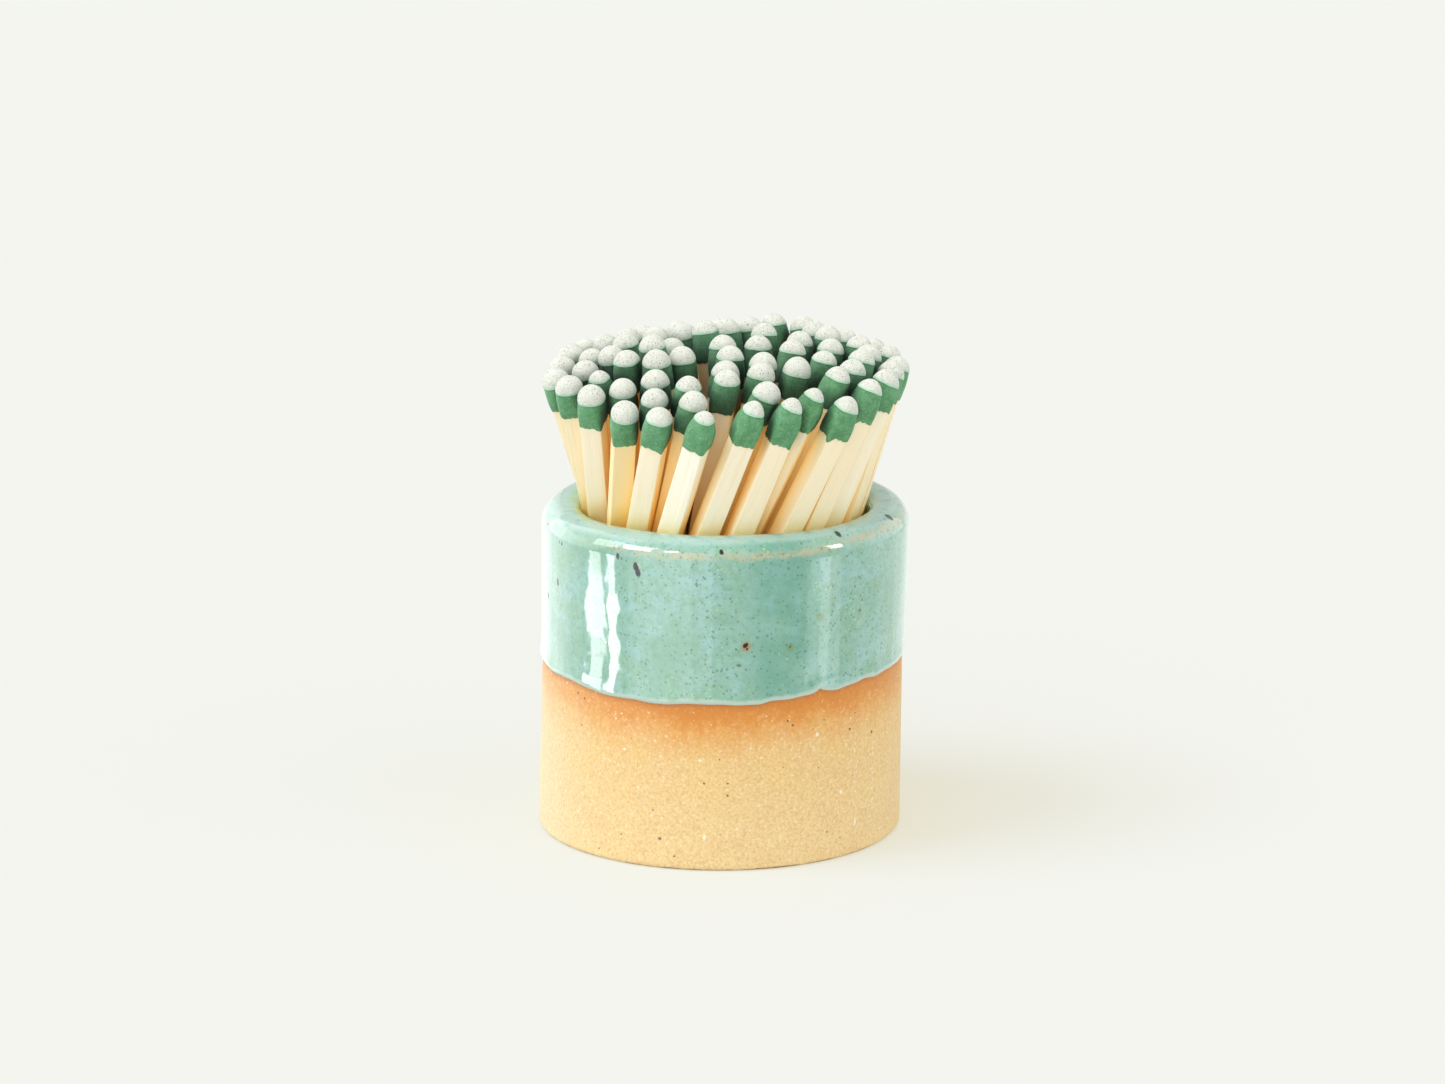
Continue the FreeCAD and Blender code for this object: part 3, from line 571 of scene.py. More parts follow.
# ---------------------------------------------------------------- the matches
# Each match: foot x, y, z and tip x, y, z in millimetres, its roll in degrees, then the shape of its head:
# length of the dome, depth of the pale dip and of the green one, how far and at which corner the green
# runs lower, and how golden the wood is.
BUNDLE = {
    "front": [
        (-8.59, 1.64, 4.48, -3.425, -11.710, 51.654, -22.2, 2.00, 1.20, 4.40, 0.10, 2, 0.76),
        (-11.87, 0.42, 4.85, -2.755, -15.088, 50.748, -20.5, 1.60, 1.60, 4.40, 0.15, 2, 0.60),
        (-13.75, -1.36, 4.68, -1.634, -18.266, 49.374, -21.3, 2.70, 0.92, 4.30, 0.18, 3, 0.00),
        (-7.05, -1.48, 4.41, 0.673, -10.936, 52.169, -9.9, 1.70, 1.25, 4.40, 0.30, 2, 0.16),
        (-12.76, -6.16, 5.09, 3.573, -17.264, 50.265, 14.1, 2.70, 1.18, 4.72, 0.06, 3, 0.25),
        (-11.16, -3.89, 6.21, 5.070, -14.293, 51.586, -26.8, 1.60, 1.70, 4.40, 0.10, 2, 0.60),
    ],
    "front_left": [
        (-8.60, 10.58, 5.25, -16.369, -7.179, 50.575, -7.0, 1.50, 1.45, 4.30, 0.10, 3, 0.50),
        (-11.01, 8.48, 5.07, -13.809, -10.714, 50.390, -17.4, 1.55, 1.58, 4.45, 0.35, 3, 0.30),
        (-8.99, 7.22, 4.47, -10.469, -9.477, 50.832, -17.3, 1.60, 1.50, 4.40, 0.10, 2, 0.71),
        (-12.65, 6.01, 4.69, -10.085, -14.415, 49.483, 9.4, 1.50, 1.72, 4.72, 0.05, 2, 1.00),
        (-6.73, 5.32, 4.47, -7.057, -8.856, 51.691, 44.3, 1.55, 1.50, 4.40, 0.10, 1, 0.73),
        (-10.15, 4.80, 4.54, -6.976, -12.794, 50.489, -10.5, 1.60, 1.40, 4.40, 0.10, 2, 0.43),
        (-13.76, 2.77, 4.69, -6.387, -16.772, 49.350, -18.1, 1.70, 1.22, 4.42, 0.42, 3, 0.35),
    ],
    "front_right": [
        (-10.07, -8.99, 4.86, 7.559, -16.151, 50.343, 15.8, 2.70, 1.12, 5.05, 0.10, 3, 0.30),
        (-2.72, -5.58, 4.64, 8.164, -6.870, 52.702, 13.6, 1.60, 1.85, 4.40, 0.10, 2, 0.79),
        (-9.47, -6.26, 5.98, 9.893, -13.422, 50.747, -19.5, 2.60, 0.98, 4.50, 0.10, 2, 0.35),
        (-4.63, -9.11, 5.94, 12.496, -9.266, 52.171, -26.0, 1.90, 1.30, 4.40, 0.10, 2, 0.78),
        (-7.56, -11.83, 5.12, 13.453, -12.671, 49.711, 29.9, 2.20, 1.38, 4.45, 0.55, 2, 0.50),
        (-3.85, -12.31, 5.81, 15.901, -9.647, 50.896, 35.8, 1.90, 1.25, 4.50, 0.45, 2, 0.45),
    ],
    "left": [
        (-5.89, 12.72, 5.84, -17.977, -3.890, 50.651, -0.5, 1.50, 1.60, 4.40, 0.10, 3, 0.30),
        (-2.89, 13.82, 5.56, -17.524, 0.991, 50.859, 32.2, 1.50, 1.70, 4.40, 0.10, 2, 0.59),
        (-0.12, 14.13, 5.88, -16.643, 5.011, 51.423, 19.6, 1.50, 1.70, 4.40, 0.10, 2, 0.76),
        (-3.44, 10.96, 5.01, -14.873, -2.157, 51.135, -4.5, 1.50, 1.60, 4.40, 0.10, 2, 0.57),
        (0.22, 11.74, 5.29, -14.380, 2.427, 51.446, 13.1, 1.53, 1.52, 4.45, 0.15, 1, 0.34),
        (-6.38, 9.11, 4.46, -13.106, -5.909, 50.934, -11.8, 2.40, 0.92, 4.40, 0.10, 2, 0.26),
        (-0.90, 8.87, 5.23, -12.110, -0.156, 52.383, 22.4, 1.63, 1.57, 4.58, 0.17, 3, 0.29),
        (2.16, 8.48, 5.62, -10.701, 3.482, 52.943, -2.7, 1.60, 1.30, 4.40, 0.10, 2, 0.75),
        (-4.31, 7.08, 5.08, -10.267, -4.046, 52.737, -20.7, 1.55, 1.25, 4.40, 0.10, 2, 0.44),
    ],
    "right": [
        (0.12, -5.58, 4.52, 11.013, -3.064, 52.535, -1.2, 1.60, 1.20, 4.40, 0.10, 2, 0.57),
        (1.85, -3.10, 4.74, 11.834, 2.313, 52.712, -1.3, 1.62, 1.43, 4.51, 0.23, 2, 0.42),
        (-1.69, -8.37, 5.63, 14.107, -6.163, 52.280, 37.4, 1.60, 1.35, 4.40, 0.10, 1, 0.35),
        (4.30, -3.88, 5.21, 14.926, 4.078, 52.695, -1.0, 1.54, 1.43, 4.59, 0.27, 0, 0.37),
        (2.04, -8.49, 5.45, 15.072, -2.582, 52.626, -18.6, 1.68, 1.36, 4.57, 0.16, 0, 0.29),
        (2.85, -6.19, 5.36, 15.881, 0.735, 52.403, -14.6, 1.59, 1.47, 4.59, 0.13, 3, 0.45),
        (-1.29, -11.26, 6.05, 17.752, -6.411, 51.264, 29.8, 1.80, 1.55, 4.40, 0.50, 1, 0.30),
        (6.00, -7.92, 5.42, 18.177, 5.287, 51.336, -4.0, 1.73, 1.49, 4.39, 0.24, 2, 0.37),
        (2.85, -12.57, 5.67, 18.339, -1.599, 51.165, -21.6, 1.72, 1.67, 4.37, 0.02, 0, 0.65),
        (4.13, -10.24, 5.43, 18.979, 1.790, 50.873, -8.1, 1.66, 1.43, 4.45, 0.02, 3, 0.47),
    ],
    "mid_front": [
        (-0.29, 6.06, 5.53, -7.663, -0.958, 53.763, 10.2, 1.68, 1.38, 4.49, 0.11, 2, 0.45),
        (-3.06, 4.53, 4.95, -7.074, -5.262, 53.100, 39.4, 1.60, 1.55, 4.40, 0.10, 1, 0.33),
        (-0.15, 3.73, 4.26, -4.385, -2.836, 52.935, 3.5, 1.60, 1.55, 4.40, 0.10, 2, 0.54),
        (-5.61, 1.16, 4.27, 0.507, -7.534, 52.412, 30.3, 1.64, 1.57, 4.32, 0.07, 3, 0.37),
        (-2.12, -0.18, 4.13, 0.905, -3.584, 53.215, 30.4, 1.62, 1.39, 4.50, 0.15, 0, 0.45),
        (-5.67, -5.19, 4.44, 4.374, -8.790, 52.570, -20.9, 1.65, 1.68, 4.48, 0.03, 2, 0.59),
        (-3.23, -3.16, 4.26, 4.517, -5.386, 52.897, 13.9, 1.58, 1.61, 4.45, 0.11, 0, 0.62),
        (-0.53, -3.17, 4.66, 7.637, -0.673, 53.215, -1.4, 1.60, 1.30, 4.40, 0.10, 2, 0.23),
    ],
    "mid_back": [
        (2.60, 5.82, 4.23, -5.615, 2.377, 52.714, 18.3, 1.57, 1.45, 4.42, 0.27, 1, 0.68),
        (5.05, 4.72, 5.30, -2.030, 5.454, 54.082, -15.7, 1.66, 1.35, 4.39, 0.15, 3, 0.73),
        (1.65, 0.63, 4.24, 0.009, 0.556, 53.512, -27.5, 1.60, 1.35, 4.40, 0.10, 2, 0.35),
        (8.99, 4.04, 5.21, 0.202, 9.592, 53.405, 2.2, 1.64, 1.65, 4.40, 0.22, 3, 0.47),
        (2.49, 2.82, 4.07, 3.837, 1.193, 53.320, -27.5, 1.60, 1.35, 4.40, 0.10, 2, 0.54),
        (6.62, 1.53, 4.46, 4.409, 7.356, 53.362, 1.7, 1.62, 1.39, 4.57, 0.29, 2, 0.68),
    ],
    "back_left": [
        (2.99, 13.70, 5.66, -15.277, 8.700, 51.178, 22.5, 1.59, 1.57, 4.53, 0.02, 0, 0.16),
        (2.71, 11.06, 5.78, -12.957, 6.240, 52.277, 12.1, 1.73, 1.43, 4.59, 0.07, 3, 0.47),
        (5.75, 10.46, 5.82, -10.686, 9.362, 52.286, -12.8, 1.71, 1.70, 4.51, 0.25, 3, 0.63),
        (6.01, 12.86, 4.95, -8.975, 12.438, 51.916, -13.0, 1.60, 1.68, 4.53, 0.11, 1, 0.65),
        (4.78, 8.31, 5.47, -7.557, 6.224, 53.153, -12.6, 1.52, 1.67, 4.51, 0.10, 3, 0.65),
        (6.95, 6.69, 5.18, -4.519, 8.526, 53.092, -14.0, 1.66, 1.66, 4.42, 0.10, 2, 0.36),
    ],
    "back_right": [
        (3.95, -0.84, 4.24, 8.374, 4.848, 53.008, -1.3, 1.57, 1.52, 4.53, 0.26, 2, 0.65),
        (13.92, 1.47, 5.33, 8.620, 13.503, 52.850, 40.2, 1.74, 1.58, 4.33, 0.19, 2, 0.11),
        (9.00, 0.30, 4.70, 9.952, 9.897, 53.050, -19.4, 1.67, 1.70, 4.45, 0.28, 1, 0.78),
        (6.34, -1.57, 4.92, 11.475, 6.533, 53.274, -0.5, 1.54, 1.64, 4.39, 0.12, 0, 0.19),
        (11.12, -2.18, 4.42, 13.289, 10.469, 52.016, 20.7, 1.51, 1.61, 4.52, 0.04, 3, 0.28),
        (7.72, -5.43, 4.93, 16.545, 8.409, 51.418, 10.9, 1.72, 1.40, 4.48, 0.27, 2, 0.48),
    ],
    "back": [
        (8.71, 11.06, 4.83, -5.281, 15.180, 51.926, -13.8, 1.67, 1.63, 4.51, 0.25, 1, 0.74),
        (8.23, 8.77, 4.32, -4.213, 11.878, 51.920, -14.2, 1.63, 1.67, 4.51, 0.22, 0, 0.77),
        (10.70, 8.66, 4.52, -0.721, 16.155, 51.892, -14.8, 1.53, 1.65, 4.39, 0.25, 0, 0.43),
        (10.10, 6.39, 4.36, -0.578, 12.734, 52.073, -14.8, 1.53, 1.63, 4.39, 0.14, 0, 0.66),
        (11.58, 3.28, 5.35, 2.688, 12.290, 52.998, 3.6, 1.59, 1.66, 4.45, 0.28, 2, 0.80),
        (12.66, 5.93, 4.93, 5.352, 14.583, 52.908, -35.5, 1.68, 1.46, 4.46, 0.28, 3, 0.75),
    ],
}

LENGTH = 49.3
SPLINT_TOP = 46.9
AROUND = 48


def placed(points, match):
    """Local match coordinates, foot at the origin and tip up +Z, to the frame."""
    foot, tip = Vector(match[:3]), Vector(match[3:6])
    turn = Vector((0, 0, 1)).rotation_difference((tip - foot).normalized()).to_matrix()
    turn = turn @ Matrix.Rotation(math.radians(match[6]), 3, "Z")
    return np.asarray(points) @ np.array(turn).T + np.array(foot)


class Grower:
    """Collects the rings of many small closed forms into one mesh with attributes."""

    def __init__(self):
        self.points, self.quads, self.tris, self.attributes, self.size = [], [], [], {}, 0

    def add(self, rings, closed_low, closed_high, match, **attributes):
        """rings is (count, around, 3), ordered so that faces look outwards; poles close the ends."""
        count, around = rings.shape[:2]
        local = rings.reshape(-1, 3)
        i = np.arange(around)
        j = (i + 1) % around
        base = self.size
        for k in range(count - 1):
            self.quads.append(base + np.stack([k * around + i, k * around + j, (k + 1) * around + j, (k + 1) * around + i], 1))
        values = {key: np.broadcast_to(np.asarray(v, float), (count, around) + np.shape(v)[2:]).reshape(count * around, -1) for key, v in attributes.items()}
        extra, rows = [], []
        for ring, flag, first in ((0, closed_low, True), (count - 1, closed_high, False)):
            if flag is not None:
                pole = base + len(local) + len(extra)
                extra.append(flag)
                rows.append(ring)
                a, b = (j, i) if first else (i, j)
                self.tris.append(np.stack([np.full(around, pole), base + ring * around + a, base + ring * around + b], 1))
        if extra:
            local = np.concatenate([local, np.array(extra, float)])
            for key, v in values.items():
                values[key] = np.concatenate([v] + [v[r * around : (r + 1) * around].mean(0, keepdims=True) for r in rows])
        self.points.append(placed(local, match))
        for key, v in values.items():
            self.attributes.setdefault(key, []).append(v)
        self.attributes.setdefault("along", []).append(local)
        self.size += len(local)

    def piece(self, name, material, node, slot, auto=None):
        attributes = {}
        for key, parts in self.attributes.items():
            v = np.concatenate(parts)
            attributes[key] = v[:, 0] if v.shape[1] == 1 else v
        tris = np.concatenate(self.tris) if self.tris else np.zeros((0, 3), int)
        return mesh_piece(name, np.concatenate(self.points), np.concatenate(self.quads), tris, attributes, material, node, auto)


def superellipse(half, power, angle):
    c, s = np.abs(np.cos(angle)), np.abs(np.sin(angle))
    r = half / (c**power + s**power) ** (1 / power)
    return r


def head_half(s, dome):
    """Half width of a head at a depth below its tip."""
    body = np.interp(s, [0, 1.5, 2.2, 2.9, 3.6, 4.2, 4.6, 5.8], [1.38, 1.41, 1.47, 1.48, 1.42, 1.32, 1.25, 1.22])
    t = np.clip(s / dome, 0, 1)
    return body * np.sqrt(np.clip(1 - (1 - t) ** 2, 0, 1))


def head_power(s):
    return np.interp(s, [0, 0.8, 1.8, 2.8, 3.6, 4.1, 4.5, 5.8], [2.0, 2.1, 2.4, 3.0, 4.2, 6.0, 9.0, 13.0])


HEAD_SPOTS = np.array([match[3:5] for matches in BUNDLE.values() for match in matches])
OUTWARD = np.stack([np.cos(np.arange(48) * TAU / 48), np.sin(np.arange(48) * TAU / 48)])
OUTLINE = (HEAD_SPOTS @ OUTWARD).max(0)


def buried(match):
    """0 for a match near the outline of the bunch, rising to 1 for one deep inside it."""
    inside = (OUTLINE - np.array(match[3:5]) @ OUTWARD).min()
    return float(np.clip((inside - 6) / 5, 0, 1))


def build_matches(group, matches, wood, green, pale):
    sticks, bulbs, tips = Grower(), Grower(), Grower()
    angle = np.arange(AROUND) / AROUND * TAU
    for index, match in enumerate(matches):
        rng = np.random.default_rng(abs(hash_name(group)) * 97 + index * 13 + 5)
        dome, dip, skirt_end, tooth, tooth_corner, golden = match[7:]
        shift = rng.uniform(-40, 40, 3)
        # how far inside the bunch the match stands, which the materials use for painted shade
        deep = buried(match)

        # splint: a sawn square stick, edges a little worn, faces not quite flat
        side, edge = 1.15, 0.10
        flat = np.linspace(-(side - edge), side - edge, 5)
        ring = []
        for q in range(4):
            c, s = math.cos(q * math.pi / 2), math.sin(q * math.pi / 2)
            for v in flat:
                x, y = side, v
                ring.append((c * x - s * y, s * x + c * y, q))
            x, y = side - edge * 0.29, side - edge * 0.29
            ring.append((c * x - s * y, s * x + c * y, q + 0.5))
        ring = np.array(ring)
        face_tone = rng.uniform(0, 1, 5)
        face_tone[4] = face_tone[0]
        tones = np.array([face_tone[int(f)] if f == int(f) else (face_tone[int(f)] + face_tone[int(f) + 1]) / 2 for f in ring[:, 2]])
        heights = np.concatenate([[0.0, 0.06], np.linspace(0.8, SPLINT_TOP - 0.5, 34), [SPLINT_TOP]])
        bow = rng.uniform(0, TAU)
        rings = np.zeros((len(heights), len(ring), 3))
        for k, h in enumerate(heights):
            pinch = 0.988 if h < 0.03 else 1.0
            ripple = 1 + 0.006 * math.sin(h * 0.55 + bow) + 0.003 * math.sin(h * 2.3 + bow * 2)
            if h > 43:
                ripple = 1 + (ripple - 1) * 0.3
            rings[k, :, 0] = ring[:, 0] * pinch * ripple
            rings[k, :, 1] = ring[:, 1] * pinch * (2 - ripple)
            rings[k, :, 2] = h
        shape = (len(heights), len(ring))
        sticks.add(
            rings, (0, 0, 0), (0, 0, SPLINT_TOP), match,
            tone=np.full(shape, golden), deep=np.full(shape, deep), face=np.broadcast_to(tones, shape), shift=np.broadcast_to(shift, shape + (3,)),
        )

        # bulb: a dried dip that thins to a ragged skirt round the stick, lowest at the corners
        corner = np.abs(np.sin(2 * angle)) ** 9
        quarter = (angle // (math.pi / 2)).astype(int) % 4
        dips = rng.uniform(0.0, 0.07, 4)
        dips[int(tooth_corner)] += tooth
        sag = rng.uniform(0.04, 0.20, 5)
        sag[4] = sag[0]
        across = (angle / (math.pi / 2) + 0.5) % 4
        sag = sag[np.floor(across).astype(int)] * np.abs(np.cos(2 * angle)) ** 0.7
        lean = 0.07 * np.cos(angle - rng.uniform(0, TAU))
        jag = sum(a * np.sin(k * angle + rng.uniform(0, TAU)) for k, a in ((5, 0.03), (9, 0.03), (14, 0.04))) + rng.uniform(-0.045, 0.045, AROUND)
        low = skirt_end + dips[quarter] * corner + sag + lean + jag
        wave = 0.045 * np.cos(angle - rng.uniform(0, TAU)) + 0.022 * np.sin(3 * angle + rng.uniform(0, TAU)) + 0.012 * np.sin(7 * angle + rng.uniform(0, TAU))
        top = dip + wave
        lump = rng.uniform(0, TAU, 6)

        def surface(s, extra=0.0):
            """Radius of the head's skin at depth s, an array round the stick."""
            half = head_half(s, dome)
            r = superellipse(half, head_power(s), angle)
            r = r * (1 + 0.012 * np.sin(2 * angle + lump[0] + s * 0.7) + 0.010 * np.sin(3 * angle + lump[1] - s) + 0.006 * np.sin(5 * angle + lump[2] + 2 * s))
            return r + extra

        square = superellipse(1.158, 14.0, angle)
        rings, edge_value = [], []
        for u in np.concatenate([[0.0], np.linspace(0.03, 0.90, 19), [0.935, 0.96, 0.98, 0.993, 1.0]]):
            s = top + 0.012 + (low - top) * u
            r = surface(s)
            near = np.clip((low - s) / 0.28, 0, 1)
            skirt = np.sqrt(np.clip(1 - (1 - near) ** 2, 0, 1))
            r = square + 0.035 + np.maximum(r - square - 0.035, 0.03) * (0.35 + 0.65 * skirt) if u > 0.5 else np.maximum(r, 0.2)
            if u == 1.0:
                r = square + 0.012
            rings.append(np.stack([r * np.cos(angle), r * np.sin(angle), LENGTH - s], 1))
            edge_value.append(s - top)
        # up the socket that the stick sits in
        for s in (low - 0.25, 0 * low + 3.6, 0 * low + LENGTH - SPLINT_TOP - 0.01):
            rings.append(np.stack([square * np.cos(angle), square * np.sin(angle), LENGTH - s], 1))
            edge_value.append(0 * low + 4)
        rings = np.array(rings)[::-1]
        edge_value = np.array(edge_value)[::-1]
        shape = rings.shape[:2]
        # reversed order runs upwards outside, so the faces look outwards
        bulbs.add(
            rings, (0, 0, SPLINT_TOP + 0.01), (0, 0, LENGTH - dip - 0.012), match,
            tone=np.full(shape, rng.uniform(0, 1)), deep=np.full(shape, deep), below=edge_value, shift=np.broadcast_to(shift, shape + (3,)),
        )

        # tip: the second, pale dip, a thin cap with a rolled lower rim
        rings, edge_value = [], []
        rings.append(np.stack([surface(top) * 0.55 * np.cos(angle), surface(top) * 0.55 * np.sin(angle), LENGTH - top], 1))
        edge_value.append(0 * top + 0.3)
        for out, down in ((0.0, 0.0), (0.035, 0.006), (0.055, -0.02), (0.06, -0.06)):
            s = top + down
            r = surface(s, out)
            rings.append(np.stack([r * np.cos(angle), r * np.sin(angle), LENGTH - s], 1))
            edge_value.append(0 * top + max(0, -down))
        for u in np.concatenate([np.linspace(0.10, 0.90, 12), [0.95, 0.985]]):
            s = (top - 0.06) * (1 - u)
            r = surface(s, 0.06 * (1 - u**3)) if u < 0.9 else surface(s, 0.06 * (1 - u**3) * 0.6)
            rings.append(np.stack([r * np.cos(angle), r * np.sin(angle), LENGTH - s], 1))
            edge_value.append(top - s)
        rings, edge_value = np.array(rings), np.array(edge_value)
        shape = rings.shape[:2]
        tips.add(
            rings, (0, 0, LENGTH - dip), (0, 0, LENGTH), match,
            tone=np.full(shape, rng.uniform(0, 1)), above=edge_value, shift=np.broadcast_to(shift, shape + (3,)),
        )
    return (
        sticks.piece(group + "_sticks", wood, group + "_splints", "splint_wood", auto=35),
        bulbs.piece(group + "_heads", green, group + "_bulbs", "bulb_green"),
        tips.piece(group + "_caps", pale, group + "_tips", "tip_pale"),
    )


def hash_name(text):
    return sum((i + 1) * ord(c) for i, c in enumerate(text))


def wood_material():
    n = Net("splint_wood")
    along = n.vector("ADD", n.attribute("along", "Vector"), n.attribute("shift", "Vector"))
    tone, face = n.attribute("tone"), n.attribute("face")
    grain = n.noise(n.stretch(along, (3.2, 3.2, 0.08)), 1.0, 3, 0.6, 0.2)
    fibre = n.noise(n.stretch(along, (12.0, 12.0, 0.35)), 1.0, 3, 0.7)
    cloud = n.noise(n.stretch(along, (0.8, 0.8, 0.10)), 1.0, 2, 0.5)
    base = n.mix(tone, linear(254, 248, 230), linear(246, 222, 168))
    base = n.mix(n.range(face, 0.2, 1.0, 0, 0.22), base, linear(250, 230, 184))
    base = n.mix(n.range(cloud, 0.40, 0.70, 0, 0.25), base, linear(250, 230, 190))
    base = n.mix(n.range(grain, 0.52, 0.70, 0, 0.30), base, linear(240, 212, 156))
    base = n.mix(n.range(fibre, 0.52, 0.74, 0, 0.20), base, linear(232, 200, 142))
    hair = n.range(n.noise(n.stretch(along, (6.0, 6.0, 0.12)), 1.0, 2, 0.5), 0.68, 0.73, 0, 0.30)
    base = n.mix(hair, base, linear(218, 176, 116))
    # light that has bounced between the splints is warm, so the crevices are orange
    shade = n.node("ShaderNodeAmbientOcclusion", {"Distance": 0.0045}, samples=4)
    open_sky = shade.outputs["AO"]
    base = n.mix(n.range(open_sky, 0.46, 0.20, 0, 0.75, False), base, linear(255, 228, 156))
    base = n.mix(n.range(open_sky, 0.36, 0.10, 0, 0.90, False), base, linear(255, 202, 80))
    # painted shade: splints deep inside the bunch are darkened towards brown
    deep = n.attribute("deep")
    base = n.mix(n.math("MULTIPLY", deep, 0.70), base, linear(112, 78, 40))
    rough = n.range(fibre, 0.3, 0.7, 0.55, 0.75, False)
    height = n.math("ADD", n.math("MULTIPLY", fibre, 0.6), n.math("MULTIPLY", grain, 0.6))
    # painted light: the splints are given a faint glow where they are shaded, standing in for daylight soaking through
    # the thin pale wood, less so down inside the pot
    level = n.math("MULTIPLY", n.split(n.place())[2], 1000.0)
    painted_glow = n.times(
        n.range(open_sky, 0.82, 0.34, 0, 0.085, False), n.range(open_sky, 0.03, 0.24, 0.35, 1.0),
        n.range(level, 32.5, 37.0, 0.25, 1.0), n.math("MULTIPLY_ADD", deep, -1.0, 1.0),
    )
    return n.finish(
        Base_Color=base, Roughness=rough, Normal=n.bump(height, 0.30, 0.00005),
        Emission_Color=base, Emission_Strength=painted_glow,
    )


def green_material():
    n = Net("match_green")
    along = n.vector("ADD", n.attribute("along", "Vector"), n.attribute("shift", "Vector"))
    tone = n.attribute("tone")
    cloud = n.noise(along, 1.1, 3, 0.6)
    grit = n.noise(along, 4.6, 4, 0.8)
    base = n.mix(n.range(cloud, 0.35, 0.68), linear(74, 134, 84), linear(97, 155, 106))
    base = n.mix(n.math("MULTIPLY", tone, 0.3), base, linear(90, 156, 114))
    base = n.mix(n.range(grit, 0.52, 0.70, 0, 0.65), base, linear(140, 188, 144))
    base = n.mix(n.range(grit, 0.48, 0.32, 0, 0.70), base, linear(52, 110, 70))
    dist, colour = n.cells(along, 4.2)
    pick = n.channels(colour)
    fleck = n.math("MULTIPLY", n.range(dist, 0.30, 0.14), n.range(pick[0], 0.90, 0.98, 0, 0.60))
    base = n.mix(fleck, base, linear(186, 214, 176))
    pore = n.math("MULTIPLY", n.range(dist, 0.28, 0.10), n.range(pick[1], 0.80, 0.95, 0, 0.55))
    base = n.mix(pore, base, linear(34, 78, 50))
    # painted shade: the green is darkened in the gaps between heads, and lower down on heads deep inside the bunch
    shade = n.node("ShaderNodeAmbientOcclusion", {"Distance": 0.008}, samples=4)
    crevice_shade = n.range(shade.outputs["AO"], 0.66, 0.22, 0, 0.96, False)
    buried_shade = n.times(n.attribute("deep"), n.range(n.attribute("below"), 0.9, 3.6), 0.75)
    base = n.mix(n.top(crevice_shade, buried_shade), base, linear(18, 40, 38))
    height = n.math("SUBTRACT", n.math("MULTIPLY", grit, 1.0), n.math("MULTIPLY", pore, 0.8))
    rough = n.range(grit, 0.3, 0.7, 0.62, 0.8, False)
    return n.finish(Base_Color=base, Roughness=rough, Normal=n.bump(height, 0.50, 0.00007))


def pale_material():
    n = Net("match_pale")
    along = n.vector("ADD", n.attribute("along", "Vector"), n.attribute("shift", "Vector"))
    above, tone = n.attribute("above"), n.attribute("tone")
    cloud = n.noise(along, 1.3, 3, 0.6)
    grit = n.noise(along, 6.0, 4, 0.75)
    base = n.mix(n.range(cloud, 0.35, 0.7), linear(214, 216, 206), linear(226, 228, 219))
    base = n.mix(n.math("MULTIPLY", tone, 0.25), base, linear(217, 216, 204))
    base = n.mix(n.range(grit, 0.50, 0.34, 0, 0.75), base, linear(164, 167, 156))
    base = n.mix(n.range(grit, 0.56, 0.70, 0, 0.50), base, linear(239, 241, 236))
    # where the dip is dusty and porous it shows dark pinholes
    dusty = n.range(n.noise(n.vector("ADD", n.attribute("shift", "Vector"), n.stretch(along, (0.35, 0.35, 0.35))), 1.0, 2), 0.38, 0.58, 0.28, 1.0)
    for scale, size, dark in ((2.6, 0.27, linear(96, 104, 96)), (4.2, 0.34, linear(128, 136, 126))):
        dist, colour = n.cells(along, scale)
        pick = n.channels(colour)
        pore = n.range(n.math("MULTIPLY_ADD", pick[2], 0.12, dist), size, size - 0.13)
        pore = n.times(pore, n.range(pick[0], 0.38, 0.72, 0, 0.95), dusty)
        base = n.mix(pore, base, dark)
    ragged = n.math("ADD", above, n.range(n.noise(along, 3.0, 2), 0.3, 0.7, -0.07, 0.07, False))
    mint = n.range(ragged, 0.38, 0.08, 0, 0.90)
    base = n.mix(mint, base, linear(166, 212, 182))
    # painted shade: the caps are darkened to grey-green in the gaps between them
    shade = n.node("ShaderNodeAmbientOcclusion", {"Distance": 0.004}, samples=4)
    crevice_shade = n.range(shade.outputs["AO"], 0.62, 0.12, 0, 0.80, False)
    base = n.mix(crevice_shade, base, linear(96, 122, 106))
    height = n.math("SUBTRACT", n.math("MULTIPLY", grit, 0.9), n.math("MULTIPLY", pore, 1.0))
    return n.finish(Base_Color=base, Roughness=0.85, Normal=n.bump(height, 0.60, 0.00008))


# ---------------------------------------------------------------- make the object
pot = make_pot(clay_material(), glaze_material())
wood, green, pale = wood_material(), green_material(), pale_material()
for group_name, group_matches in BUNDLE.items():
    build_matches(group_name, group_matches, wood, green, pale)


# ---------------------------------------------------------------- floor and light
def floor_material():
    n = Net("pale_floor")
    tree = n.tree
    diffuse = n.node("ShaderNodeBsdfDiffuse", {"Color": linear(*FLOOR_COLOUR)})
    glow = n.node("ShaderNodeEmission", {"Color": linear(*FLOOR_GLOW), "Strength": GLOW})
    both = n.node("ShaderNodeAddShader")
    tree.links.new(diffuse.outputs[0], both.inputs[0])
    tree.links.new(glow.outputs[0], both.inputs[1])
    out = n.node("ShaderNodeOutputMaterial")
    tree.links.new(both.outputs[0], out.inputs[0])
    return n.material


FLOOR_COLOUR, FLOOR_GLOW, GLOW = (130, 143, 170), (206, 197, 162), 1.0
half = 6.0
floor_mesh = bpy.data.meshes.new("floor")
floor_mesh.from_pydata([(-half, -half, 0), (half, -half, 0), (half, half, 0), (-half, half, 0)], [], [(0, 1, 2, 3)])
floor_mesh.materials.append(floor_material())
floor = bpy.data.objects.new("floor", floor_mesh)
bpy.context.scene.collection.objects.link(floor)

world = bpy.data.worlds.new("studio")
world.use_nodes = True
sky = world.node_tree.nodes["Background"]
sky.inputs["Color"].default_value = linear(240, 242, 240)
sky.inputs["Strength"].default_value = 0.80
bpy.context.scene.world = world


